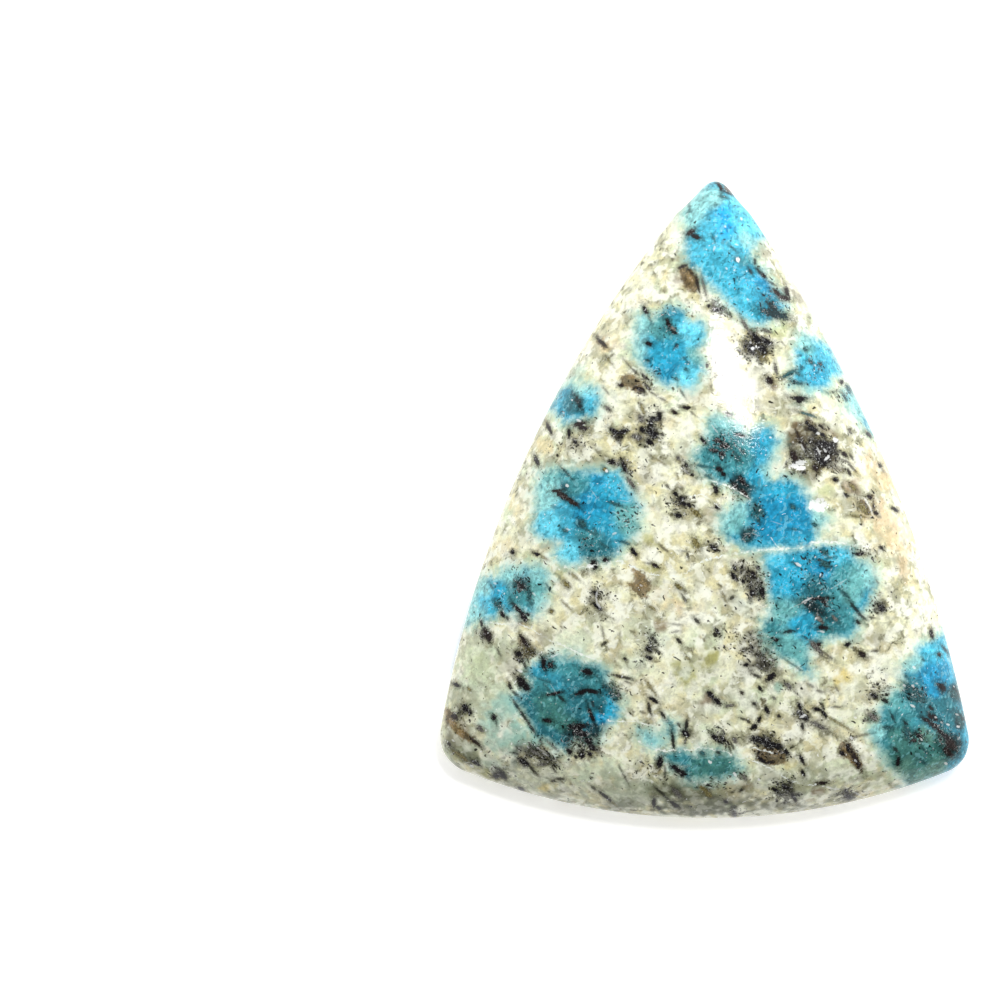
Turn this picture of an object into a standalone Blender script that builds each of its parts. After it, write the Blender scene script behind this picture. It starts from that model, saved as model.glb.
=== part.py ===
# Azurite in quartz, cut and polished as a triangular cabochon.
# The stone is one solid. Its flat back lies on z = 0, its dome faces +Z and its narrow tip points along +Y.

import math

import bmesh
import bpy
from mathutils import Vector

MM = 0.001

# Outline seen from above: where the three sides would meet if the corners were sharp
TIP = Vector((0.54, 14.78)) * MM
LOWER_RIGHT = Vector((11.92, -11.54)) * MM
LOWER_LEFT = Vector((-11.91, -11.45)) * MM

# Every side is an arc that bulges outwards
RIGHT_SIDE_RADIUS = 62.4 * MM
BASE_RADIUS = 28.5 * MM
LEFT_SIDE_RADIUS = 50.4 * MM

# Rounding of the three corners
TIP_ROUNDING = 1.1 * MM
LOWER_RIGHT_ROUNDING = 1.5 * MM
LOWER_LEFT_ROUNDING = 1.7 * MM

# Heights: a small bevel round the back, the upright rim above it, then the dome
THICKNESS = 5.0 * MM
BACK_BEVEL = 0.35 * MM
RIM_TOP = 1.5 * MM

# The dome turns over steeply within the shoulder, then crowns gently towards its top
SHOULDER_WIDTH = 2.2 * MM
SHOULDER_RISE = 1.25 * MM
CROWN_SHARPNESS = 0.5

# How finely the faces follow the curves
SIDE_STEPS = 28
CORNER_STEPS = 7
DOME_RINGS = 22
RING_CROWDING = 1.55


def arc_centre(start, end, radius):
    """Centre of the arc from start to end, for an outline that runs clockwise seen from above."""
    chord = end - start
    inward = Vector((chord.y, -chord.x)).normalized()
    return (start + end) / 2 + inward * math.sqrt(radius**2 - (chord.length / 2) ** 2)


def corner_centre(centre_a, radius_a, centre_b, radius_b, corner):
    """Centre of the rounding that touches both side arcs, found from the sharp corner."""
    between = centre_b - centre_a
    along = (radius_a**2 - radius_b**2 + between.length_squared) / (2 * between.length)
    across = math.sqrt(radius_a**2 - along**2)
    foot = centre_a + between.normalized() * along
    side = Vector((-between.y, between.x)).normalized() * across
    return min(foot + side, foot - side, key=lambda point: (point - corner).length)


def arc_points(centre, radius, start, end, steps):
    """Points on an arc, clockwise from the direction of start to that of end, without the last one."""
    first = math.atan2(start.y - centre.y, start.x - centre.x)
    last = math.atan2(end.y - centre.y, end.x - centre.x)
    if last > first:
        last -= 2 * math.pi
    turn = (last - first) / steps
    angles = [first + turn * step for step in range(steps)]
    return [centre + Vector((math.cos(angle), math.sin(angle))) * radius for angle in angles]


SIDES = [
    (arc_centre(TIP, LOWER_RIGHT, RIGHT_SIDE_RADIUS), RIGHT_SIDE_RADIUS),
    (arc_centre(LOWER_RIGHT, LOWER_LEFT, BASE_RADIUS), BASE_RADIUS),
    (arc_centre(LOWER_LEFT, TIP, LEFT_SIDE_RADIUS), LEFT_SIDE_RADIUS),
]
CORNERS = [
    (TIP, TIP_ROUNDING),
    (LOWER_RIGHT, LOWER_RIGHT_ROUNDING),
    (LOWER_LEFT, LOWER_LEFT_ROUNDING),
]


def corner_roundings():
    """For each corner: the rounding's centre, its radius, and the sides before and after it."""
    roundings = []
    for index, (corner, rounding) in enumerate(CORNERS):
        before, after = SIDES[index - 1], SIDES[index]
        centre = corner_centre(before[0], before[1] - rounding, after[0], after[1] - rounding, corner)
        roundings.append((centre, rounding, before, after))
    return roundings


ROUNDINGS = corner_roundings()


def outline():
    """The whole outline, clockwise seen from above: a corner's rounding, then the side after it."""
    points = []
    for index, (centre, rounding, before, after) in enumerate(ROUNDINGS):
        from_side = centre + (centre - before[0])
        to_side = centre + (centre - after[0])
        points += arc_points(centre, rounding, from_side, to_side, CORNER_STEPS)
        next_centre = ROUNDINGS[(index + 1) % len(ROUNDINGS)][0]
        points += arc_points(after[0], after[1], centre, next_centre, SIDE_STEPS)
    return points


def side_depths(point):
    """How far a point lies inside each of the three side arcs."""
    return [radius - (point - centre).length for centre, radius in SIDES]


def depth(point):
    """How far a point lies inside the outline, rounded corners included."""
    for centre, rounding, before, after in ROUNDINGS:
        reach = point - centre
        to_before, to_after = centre - before[0], centre - after[0]
        middle = (to_before.normalized() + to_after.normalized()).normalized()
        spread = to_before.normalized().dot(middle)
        if reach.length > 0 and reach.normalized().dot(middle) > spread:
            return max(0.0, rounding - reach.length)
    return max(0.0, min(side_depths(point)))


def crown_centre():
    """The point that lies deepest inside all three sides together, where the dome is highest."""
    point = (TIP + LOWER_RIGHT + LOWER_LEFT) / 3
    step = MM
    while step > 0.001 * MM:
        tries = [point + Vector(move) * step for move in ((0, 0), (1, 0), (-1, 0), (0, 1), (0, -1))]
        best = max(tries, key=lambda spot: math.prod(side_depths(spot)))
        if best == point:
            step /= 2
        point = best
    return point


CROWN_CENTRE = crown_centre()
CROWN_PRODUCT = math.prod(side_depths(CROWN_CENTRE))
CROWN_RISE = THICKNESS - RIM_TOP - SHOULDER_RISE


def dome_height(point):
    """Height of the polished dome above the flat back."""
    inside = min(1.0, depth(point) / SHOULDER_WIDTH)
    shoulder = math.sqrt(1 - (1 - inside) ** 2)
    crown = (max(0.0, math.prod(side_depths(point))) / CROWN_PRODUCT) ** CROWN_SHARPNESS
    return RIM_TOP + shoulder * (SHOULDER_RISE + CROWN_RISE * crown)


def inset_outline(points, amount):
    """The outline moved inwards by amount, towards the crown's centre."""
    return [point + (CROWN_CENTRE - point).normalized() * amount for point in points]


def add_ring(mesh, points, heights):
    """A closed loop of edges through the points, each at its own height."""
    vertices = bmesh.ops.create_circle(mesh, segments=len(points), radius=1.0)["verts"]
    for vertex, point, height in zip(vertices, points, heights):
        vertex.co = (*point, height)
    return [mesh.edges.get(pair) for pair in zip(vertices, vertices[1:] + vertices[:1])]


def stone_mesh():
    """One closed body: the flat back, its bevel, the rim, the dome's rings and the top."""
    rim = outline()
    mesh = bmesh.new()
    back_edges = add_ring(mesh, inset_outline(rim, BACK_BEVEL), [0.0] * len(rim))
    bmesh.ops.holes_fill(mesh, edges=back_edges, sides=0)
    rings = [
        back_edges,
        add_ring(mesh, rim, [BACK_BEVEL] * len(rim)),
        add_ring(mesh, rim, [RIM_TOP] * len(rim)),
    ]
    for ring in range(1, DOME_RINGS):
        scale = 1 - (ring / DOME_RINGS) ** RING_CROWDING
        points = [CROWN_CENTRE.lerp(point, scale) for point in rim]
        rings.append(add_ring(mesh, points, [dome_height(point) for point in points]))
    for lower, upper in zip(rings, rings[1:]):
        bmesh.ops.bridge_loops(mesh, edges=lower + upper)
    top = bmesh.ops.holes_fill(mesh, edges=rings[-1], sides=0)["faces"]
    summit = bmesh.ops.poke(mesh, faces=top)["verts"][0]
    summit.co = (*CROWN_CENTRE, THICKNESS)
    bmesh.ops.recalc_face_normals(mesh, faces=mesh.faces)
    return mesh


def stone_material():
    """Polished cream stone; the finish of its grains is a matter of the surface only."""
    material = bpy.data.materials.new("polished azurite in quartz")
    material.use_nodes = True
    shader = material.node_tree.nodes["Principled BSDF"]
    shader.inputs["Base Color"].default_value = (0.50, 0.60, 0.52, 1.0)
    shader.inputs["Roughness"].default_value = 0.15
    shader.inputs["Metallic"].default_value = 0.0
    return material


def build():
    for startup_object in list(bpy.data.objects):
        bpy.data.objects.remove(startup_object)
    collection = bpy.data.collections.new("azurite in quartz cabochon")
    bpy.context.scene.collection.children.link(collection)
    shape = bpy.data.meshes.new("cabochon")
    mesh = stone_mesh()
    mesh.to_mesh(shape)
    mesh.free()
    shape.shade_smooth()
    shape.set_sharp_from_angle(angle=math.radians(35))
    shape.materials.append(stone_material())
    stone = bpy.data.objects.new("cabochon", shape)
    collection.objects.link(stone)


build()
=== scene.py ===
import math
import bmesh
import bpy
import numpy as np
from mathutils import Matrix, Vector, noise


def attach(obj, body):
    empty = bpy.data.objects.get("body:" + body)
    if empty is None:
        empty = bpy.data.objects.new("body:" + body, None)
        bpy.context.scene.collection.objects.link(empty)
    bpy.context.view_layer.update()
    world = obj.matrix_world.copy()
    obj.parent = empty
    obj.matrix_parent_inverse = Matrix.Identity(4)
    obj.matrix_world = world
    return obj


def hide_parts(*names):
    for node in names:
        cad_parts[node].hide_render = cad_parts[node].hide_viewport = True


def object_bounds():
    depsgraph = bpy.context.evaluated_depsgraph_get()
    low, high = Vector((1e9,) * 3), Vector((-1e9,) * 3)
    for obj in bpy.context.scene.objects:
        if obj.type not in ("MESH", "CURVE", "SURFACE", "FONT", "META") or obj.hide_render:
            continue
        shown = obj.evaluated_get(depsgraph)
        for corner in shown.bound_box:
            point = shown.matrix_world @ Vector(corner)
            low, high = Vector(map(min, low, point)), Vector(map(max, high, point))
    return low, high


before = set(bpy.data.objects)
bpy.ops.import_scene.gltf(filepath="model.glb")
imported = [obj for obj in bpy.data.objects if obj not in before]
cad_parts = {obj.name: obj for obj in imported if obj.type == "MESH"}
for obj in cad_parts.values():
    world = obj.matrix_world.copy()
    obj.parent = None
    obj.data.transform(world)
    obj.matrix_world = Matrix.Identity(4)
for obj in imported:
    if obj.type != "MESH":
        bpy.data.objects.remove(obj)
cadLow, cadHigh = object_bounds()
mm = 0.001    # everything below is worked out in millimetres and scaled once, when the mesh is made

# The cut stone: a triangle with three bulging sides, a flat back and a polished dome
stone = {
    "corners": ((0.54, 14.78), (11.92, -11.54), (-11.91, -11.45)),    # where the sides would meet
    "sideRadii": (62.4, 28.5, 50.4),       # right side, base, left side
    "cornerRadii": (1.1, 1.5, 1.7),        # tip, lower right, lower left
    "thickness": (cadHigh.z - cadLow.z) / mm,
    "rimTop": 1.5,                         # height of the upright rim
    "rimMargin": 0.001,                    # what lies this close to it counts as the dome's
    "backBevel": 0.35,
    "shoulderWidth": 2.2,                  # the dome turns over within this distance of the rim
    "shoulderRise": 1.25,
    "crownSharpness": 0.5,
    "tipPinch": 0.28,                      # the very tip is ground this much narrower than its arcs
    "tipFrom": 12.7,                       # and this is where it starts and where it is full
    "tipTo": 14.1,
    "latticeCuts": 159,                    # cuts along each side of the coarse triangle
    "rimCrowding": 0.106,                  # crowds the rows of faces towards the rim
    "rimCrowdingPower": 8,
    "wallRows": (1.42, 1.25, 0.95, 0.65, 0.35),
    "bevelRows": ((0.07, 0.17), (0.2, 0.05), (0.35, 0.0)),    # inset and height, down to the back
}


def arcCentre(start, end, radius):    # the outline runs clockwise seen from above
    chord = end - start
    inward = Vector((chord.y, -chord.x)).normalized()
    return (start + end) / 2 + inward * math.sqrt(radius ** 2 - (chord.length / 2) ** 2)


def filletCentre(before, after, rounding, corner):    # touches both side arcs, on the inside
    between = after[0] - before[0]
    reachBefore = before[1] - rounding
    reachAfter = after[1] - rounding
    along = (reachBefore ** 2 - reachAfter ** 2 + between.length_squared) / (2 * between.length)
    across = math.sqrt(reachBefore ** 2 - along ** 2)
    foot = before[0] + between.normalized() * along
    side = Vector((-between.y, between.x)).normalized() * across
    return min(foot + side, foot - side, key=lambda point: (point - corner).length)


corners = [Vector(corner) for corner in stone["corners"]]
sides = [(arcCentre(corners[i], corners[(i + 1) % 3], stone["sideRadii"][i]), stone["sideRadii"][i])
         for i in range(3)]
fillets = [(filletCentre(sides[i - 1], sides[i], rounding, corners[i]), rounding)
           for i, rounding in enumerate(stone["cornerRadii"])]


def filletMiddle(index):    # directions from a fillet's centre: through its middle, and to both its ends
    towardsBefore = (fillets[index][0] - sides[index - 1][0]).normalized()
    towardsAfter = (fillets[index][0] - sides[index][0]).normalized()
    return (towardsBefore + towardsAfter).normalized(), towardsBefore, towardsAfter


def angleOf(direction):
    return math.atan2(direction.y, direction.x)


def rimPieces(side):    # the three arcs along one side, from one corner's middle to the next
    following = (side + 1) % 3
    middle, _, away = filletMiddle(side)
    nextMiddle, arriving, _ = filletMiddle(following)
    pieces = [(*fillets[side], middle, away), (*sides[side], away, arriving),
              (*fillets[following], arriving, nextMiddle)]
    arcs = []
    for centre, radius, first, last in pieces:
        turn = (angleOf(last) - angleOf(first) + math.pi) % (2 * math.pi) - math.pi
        arcs.append((np.array(centre), radius, angleOf(first), turn))
    return arcs


def rimPoints(side, share):    # points on the rim by their share of the way along a side
    arcs = rimPieces(side)
    lengths = [radius * abs(turn) for _, radius, _, turn in arcs]
    travelled = share * sum(lengths)
    points = np.zeros((len(share), 2))
    start = 0.0
    for (centre, radius, first, turn), length in zip(arcs, lengths):
        within = np.clip((travelled - start) / length, 0.0, 1.0)
        here = travelled >= start
        angle = first + turn * within
        onArc = centre + radius * np.stack([np.cos(angle), np.sin(angle)], axis=1)
        points[here] = onArc[here]
        start += length
    return points


def sideDepths(points):
    reaches = [np.linalg.norm(points - np.array(centre), axis=1) for centre, _ in sides]
    return np.stack([radius - reach for (_, radius), reach in zip(sides, reaches)], axis=1)


def rimDepth(points):    # how far inside the outline, rounded corners included
    depth = sideDepths(points).min(axis=1)
    for index, (centre, rounding) in enumerate(fillets):
        middle, towardsBefore, _ = filletMiddle(index)
        reach = points - np.array(centre)
        distance = np.linalg.norm(reach, axis=1)
        inCorner = reach @ np.array(middle) > towardsBefore.dot(middle) * distance
        depth = np.where(inCorner, rounding - distance, depth)
    return np.maximum(depth, 0.0)


def crownCentre():    # deepest inside all three sides together
    point = np.array(sum(corners, Vector((0, 0))) / 3)
    step = 1.0
    while step > 0.001:
        moves = np.array([(0, 0), (1, 0), (-1, 0), (0, 1), (0, -1)]) * step
        best = int(np.argmax(np.prod(sideDepths(point + moves), axis=1)))
        if best == 0:
            step /= 2
        point = point + moves[best]
    return point


crown = crownCentre()
crownProduct = float(np.prod(sideDepths(crown[None, :]), axis=1)[0])


def domeHeight(points):
    inside = np.minimum(1.0, rimDepth(points) / stone["shoulderWidth"])
    shoulder = np.sqrt(1 - (1 - inside) ** 2)
    product = np.maximum(0.0, np.prod(sideDepths(points), axis=1)) / crownProduct
    crownRise = stone["thickness"] - stone["rimTop"] - stone["shoulderRise"]
    crownHeight = crownRise * product ** stone["crownSharpness"]
    return stone["rimTop"] + shoulder * (stone["shoulderRise"] + crownHeight)


# Where things lie on the polished face, in pixels of the photograph's 1000 by 1000 frame
camera = {
    "place": (-9.057, -0.004, 247.6),
    "lens": 200,
    "sensor": 36,
    "pixels": 1000,
}


def onStone(spots):    # pixels to places on the dome, along straight lines from the lens
    spots = np.asarray(spots, float)
    spread = camera["sensor"] / camera["lens"]
    offset = (spots - camera["pixels"] / 2) / camera["pixels"] * spread * (1, -1)
    height = np.full(len(spots), stone["rimTop"])
    for _ in range(6):
        places = np.array(camera["place"][:2]) + offset * (camera["place"][2] - height)[:, None]
        height = domeHeight(places)
    return np.column_stack([places, height])


usualHeight = 3.5    # of the dome, where a pixel's size is taken
pixel = camera["sensor"] / camera["lens"] * (camera["place"][2] - usualHeight) / camera["pixels"]


def linear(level):    # from a screen value of 0 to 255 to light
    level = level / 255
    return level / 12.92 if level <= 0.04045 else ((level + 0.055) / 1.055) ** 2.4


def paint(red, green, blue):
    return (linear(red), linear(green), linear(blue), 1.0)


def smooth(low, high, values):
    share = np.clip((values - low) / (high - low), 0, 1)
    return share * share * (3 - 2 * share)


def noiseAt(points, size, seed):    # about -0.7 to 0.7
    shift = Vector((17.3, -9.1, 5.7)) * seed
    return np.array([noise.noise(Vector(point) / size + shift) for point in points.tolist()])


# Azurite: the outline of each blue body
azurite = {
    "tip": [
        (712, 176), (737, 188), (757, 213), (771, 236), (758, 240), (753, 247), (752, 254), (755, 261),
        (760, 267), (767, 277), (776, 291), (783, 301), (788, 306), (771, 321), (760, 324), (750, 323),
        (742, 318), (736, 311), (728, 305), (723, 298), (718, 291), (712, 286), (704, 281), (698, 270),
        (692, 266), (687, 260), (686, 248), (686, 238), (686, 226), (681, 216), (688, 200),
    ],
    "upperLeft": [
        (638, 317), (645, 313), (652, 318), (660, 313), (668, 308), (677, 308), (684, 312), (690, 320),
        (700, 322), (705, 328), (706, 337), (700, 345), (697, 352), (703, 361), (702, 371), (697, 382),
        (690, 388), (683, 388), (676, 384), (667, 385), (660, 382), (651, 373), (643, 364), (636, 357),
        (635, 346), (636, 330),
    ],
    "leftRim": [
        (553, 400), (562, 388), (570, 386), (580, 386), (590, 384), (597, 390), (599, 400), (597, 410),
        (592, 416), (584, 418), (577, 420), (570, 423), (562, 421), (556, 414), (550, 408),
    ],
    "rightUpper": [
        (797, 342), (801, 334), (810, 337), (818, 341), (827, 344), (832, 350), (840, 366), (842, 374),
        (833, 378), (829, 387), (820, 389), (812, 392), (806, 395), (806, 387), (798, 386), (791, 384),
        (790, 377), (795, 371), (796, 362), (794, 354),
    ],
    "rightRim": [
        (843, 391), (850, 388), (860, 403), (868, 419), (873, 434), (866, 428), (860, 420), (853, 413),
        (847, 404),
    ],
    "centre": [
        (709, 419), (718, 416), (728, 419), (742, 424), (744, 431), (748, 434), (756, 429), (763, 425),
        (771, 425), (775, 434), (779, 442), (777, 450), (771, 458), (768, 470), (772, 480), (785, 478),
        (797, 482), (804, 491), (810, 500), (811, 510), (820, 514), (827, 518), (823, 524), (817, 530),
        (817, 539), (812, 546), (795, 549), (780, 548), (765, 550), (748, 550), (736, 543), (725, 537),
        (720, 528), (722, 518), (729, 509), (738, 501), (748, 498), (738, 492), (728, 486), (718, 483),
        (710, 480), (704, 472), (698, 464), (694, 457), (699, 450), (704, 442), (707, 434), (709, 426),
    ],
    "lowerMiddle": [
        (764, 556), (770, 552), (779, 550), (790, 551), (803, 549), (817, 546), (840, 545), (852, 550),
        (857, 560), (866, 563), (873, 570), (876, 582), (873, 590), (869, 603), (862, 612), (858, 619),
        (857, 627), (853, 636), (845, 638), (834, 637), (826, 641), (814, 643), (808, 652), (808, 666),
        (811, 676), (802, 671), (793, 663), (783, 658), (773, 650), (766, 642), (762, 631), (763, 622),
        (770, 618), (771, 608), (769, 597), (768, 585), (769, 573), (764, 564),
    ],
    "leftMiddle": [
        (541, 473), (551, 470), (563, 468), (578, 470), (590, 471), (606, 470), (618, 471), (624, 478),
        (628, 487), (633, 494), (638, 502), (640, 511), (638, 519), (638, 528), (633, 536), (628, 541),
        (620, 548), (617, 555), (607, 560), (597, 562), (583, 560), (577, 563), (567, 565), (559, 562),
        (554, 555), (557, 548), (561, 543), (553, 540), (544, 539), (537, 534), (533, 527), (535, 519),
        (537, 510), (536, 495), (538, 482),
    ],
    "leftLow": [
        (460, 624), (468, 600), (478, 580), (486, 578), (499, 575), (503, 569), (515, 567), (530, 566),
        (541, 566), (547, 573), (549, 581), (547, 590), (547, 597), (543, 605), (538, 611), (531, 616),
        (524, 614), (516, 611), (507, 614), (500, 612), (495, 617), (488, 619), (480, 621), (468, 624),
    ],
    "lowerLeft": [
        (512, 698), (518, 705), (525, 716), (532, 728), (536, 737), (545, 739), (552, 743), (558, 749),
        (565, 751), (570, 742), (580, 735), (590, 740), (600, 738), (606, 727), (612, 722), (619, 718),
        (619, 706), (616, 698), (612, 690), (606, 680), (607, 672), (600, 667), (591, 664), (583, 662),
        (575, 657), (566, 657), (558, 655), (550, 657), (543, 660), (533, 662), (528, 668), (530, 678),
        (527, 688), (521, 692), (515, 695),
    ],
    "fleck": [
        (638, 730), (650, 733), (660, 738), (663, 744), (655, 748), (646, 745), (640, 738),
    ],
    "smallFleck": [
        (667, 721), (672, 721), (676, 728), (674, 735), (668, 735), (665, 729),
    ],
    "base": [
        (662, 753), (672, 751), (684, 750), (692, 754), (700, 752), (717, 752), (729, 754), (737, 761),
        (739, 769), (733, 775), (723, 778), (707, 779), (693, 781), (686, 777), (682, 770), (674, 766),
        (666, 761),
    ],
    "lowerRight": [
        (945, 630), (957, 670), (975, 735), (975, 757), (950, 778), (908, 794), (903, 776), (896, 770),
        (890, 764), (884, 752), (879, 745), (873, 739), (870, 732), (873, 725), (879, 719), (880, 712),
        (883, 704), (888, 697), (893, 691), (901, 689), (904, 682), (902, 674), (904, 667), (909, 660),
        (917, 655), (917, 649), (923, 644), (932, 640), (938, 636),
    ],
}

# The blues and teals within it: x, y, reach
azuriteTones = {
    # Brightest blue
    (20, 172, 236): [
        (724, 224, 9), (723, 232, 6), (726, 216, 7),
    ],
    # Pale sky blue
    (105, 212, 235): [
        (742, 214, 8), (750, 226, 9), (735, 204, 7), (690, 332, 8), (701, 334, 7), (684, 378, 9),
        (693, 378, 7), (545, 525, 9), (571, 555, 9),
    ],
    # Sky blue
    (76, 190, 218): [
        (712, 228, 11), (727, 250, 12), (708, 255, 12), (730, 280, 14), (745, 300, 12), (725, 300, 7),
        (755, 318, 9), (738, 215, 9), (820, 350, 9), (802, 366, 8), (835, 373, 7), (592, 398, 8),
        (612, 478, 10), (774, 560, 8), (488, 605, 9), (930, 650, 10), (838, 556, 9),
    ],
    # The common blue
    (46, 166, 200): [
        (740, 275, 12), (757, 300, 9), (765, 318, 6), (655, 352, 10), (668, 360, 12), (815, 372, 9),
        (765, 452, 10), (755, 478, 5), (785, 575, 14), (790, 590, 10), (812, 552, 10), (803, 625, 9),
        (604, 496, 10), (596, 520, 10), (499, 592, 6), (612, 713, 6), (617, 708, 5), (780, 490, 9),
    ],
    # Deep blue
    (30, 146, 188): [
        (671, 369, 8), (592, 508, 11), (777, 508, 12), (793, 516, 12), (770, 525, 9), (600, 480, 6),
        (822, 568, 8), (935, 675, 10), (931, 688, 7), (765, 282, 8), (603, 719, 5),
    ],
    # Washed-out borders
    (150, 214, 212): [
        (710, 197, 7), (700, 205, 8), (693, 215, 8), (688, 222, 6), (746, 240, 5), (640, 325, 7),
        (638, 350, 8), (585, 388, 8), (545, 485, 10), (541, 500, 8), (728, 520, 7), (735, 508, 7),
        (725, 423, 8), (776, 455, 8), (773, 470, 7), (803, 340, 6), (868, 575, 7), (855, 407, 8),
        (480, 590, 8), (540, 600, 7), (475, 612, 8), (648, 739, 9), (912, 662, 6), (877, 731, 6),
        (820, 518, 6), (806, 390, 6), (566, 562, 6), (510, 572, 9), (539, 572, 7),
    ],
    # Pale teal
    (108, 178, 176): [
        (733, 425, 8), (712, 430, 7), (856, 577, 9), (850, 592, 8), (780, 612, 9), (792, 603, 8),
        (785, 645, 10), (798, 655, 8), (628, 515, 8), (630, 528, 7), (547, 470, 6), (552, 475, 7),
        (810, 350, 6), (697, 355, 6), (655, 325, 7), (735, 522, 7), (893, 700, 8), (536, 590, 7),
    ],
    # Teal
    (70, 146, 152): [
        (662, 332, 9), (722, 440, 10), (740, 440, 9), (740, 452, 8), (735, 458, 11), (705, 458, 9),
        (715, 467, 9), (590, 540, 8), (575, 485, 8), (565, 470, 6), (843, 572, 9), (835, 600, 9),
        (845, 618, 8), (828, 632, 7), (772, 630, 7), (905, 710, 10), (897, 722, 8), (883, 745, 6),
        (575, 670, 10), (590, 680, 10), (560, 662, 8), (672, 728, 5), (676, 757, 8), (520, 595, 8),
        (745, 262, 6), (760, 266, 5), (540, 690, 7),
    ],
    # Dark teal
    (46, 112, 122): [
        (720, 447, 6), (590, 548, 9), (602, 552, 7), (815, 590, 10), (820, 612, 9), (835, 620, 7),
        (925, 710, 9), (945, 705, 8), (950, 715, 7), (915, 692, 10), (580, 684, 9), (530, 712, 8),
        (527, 704, 6), (545, 732, 7), (556, 742, 6), (585, 702, 9), (575, 710, 8), (574, 403, 6),
        (598, 702, 6), (680, 765, 6), (757, 512, 6),
    ],
    # Green teal
    (68, 126, 118): [
        (548, 708, 12), (556, 720, 9), (540, 699, 7), (570, 722, 7), (710, 765, 13), (725, 768, 9),
        (905, 745, 12), (925, 755, 12), (895, 758, 8), (940, 745, 9), (915, 772, 9), (897, 735, 8),
        (770, 645, 7), (700, 770, 8), (720, 758, 7),
    ],
    # Sage
    (104, 152, 134): [
        (925, 738, 7), (908, 765, 8), (918, 776, 7), (905, 772, 6), (935, 765, 8),
    ],
    # Near-black shadows
    (36, 66, 70): [
        (579, 401, 3), (521, 585, 7), (815, 605, 6), (600, 730, 7), (596, 738, 6), (570, 735, 6),
        (948, 745, 9), (940, 686, 5), (955, 692, 5), (959, 720, 5), (737, 259, 4), (738, 485, 6),
        (745, 490, 6), (748, 535, 5), (762, 650, 6), (567, 488, 5), (582, 524, 4),
    ],
}

# Brown and olive grains with a clear edge
grains = {
    # Brown
    (118, 98, 62): [
        [
            (678, 268), (685, 264), (692, 270), (699, 280), (699, 292), (692, 294), (684, 287),
            (679, 274),
        ],
        [
            (617, 377), (628, 372), (640, 379), (645, 390), (637, 394), (629, 389), (621, 386),
        ],
        [
            (628, 566), (637, 569), (645, 572), (648, 578), (652, 583), (651, 589), (648, 595),
            (647, 601), (640, 598), (632, 591), (625, 585), (629, 582), (634, 581), (634, 574),
        ],
        [
            (444, 708), (449, 707), (454, 713), (458, 725), (469, 734), (481, 745), (480, 748),
            (471, 743), (461, 739), (452, 731), (446, 722),
        ],
        [
            (837, 747), (840, 741), (846, 742), (850, 741), (853, 748), (858, 756), (863, 764),
            (862, 772), (857, 769), (850, 763), (844, 757), (840, 753),
        ],
        [
            (858, 499), (864, 499), (871, 510), (868, 516), (861, 509),
        ],
        [
            (753, 749), (765, 747), (778, 748), (788, 755), (786, 764), (772, 766), (758, 761),
        ],
        [
            (598, 337), (603, 341), (607, 347), (603, 349), (598, 343),
        ],
    ],
    # Olive
    (112, 104, 66): [
        [
            (760, 349), (766, 347), (770, 353), (768, 362), (762, 365), (758, 357),
        ],
        [
            (848, 644), (856, 646), (863, 651), (866, 655), (860, 657), (853, 650),
        ],
        [
            (760, 697), (766, 698), (767, 706), (762, 708), (759, 703),
        ],
        [
            (524, 648), (534, 649), (536, 656), (529, 661), (522, 657),
        ],
    ],
}

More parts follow.
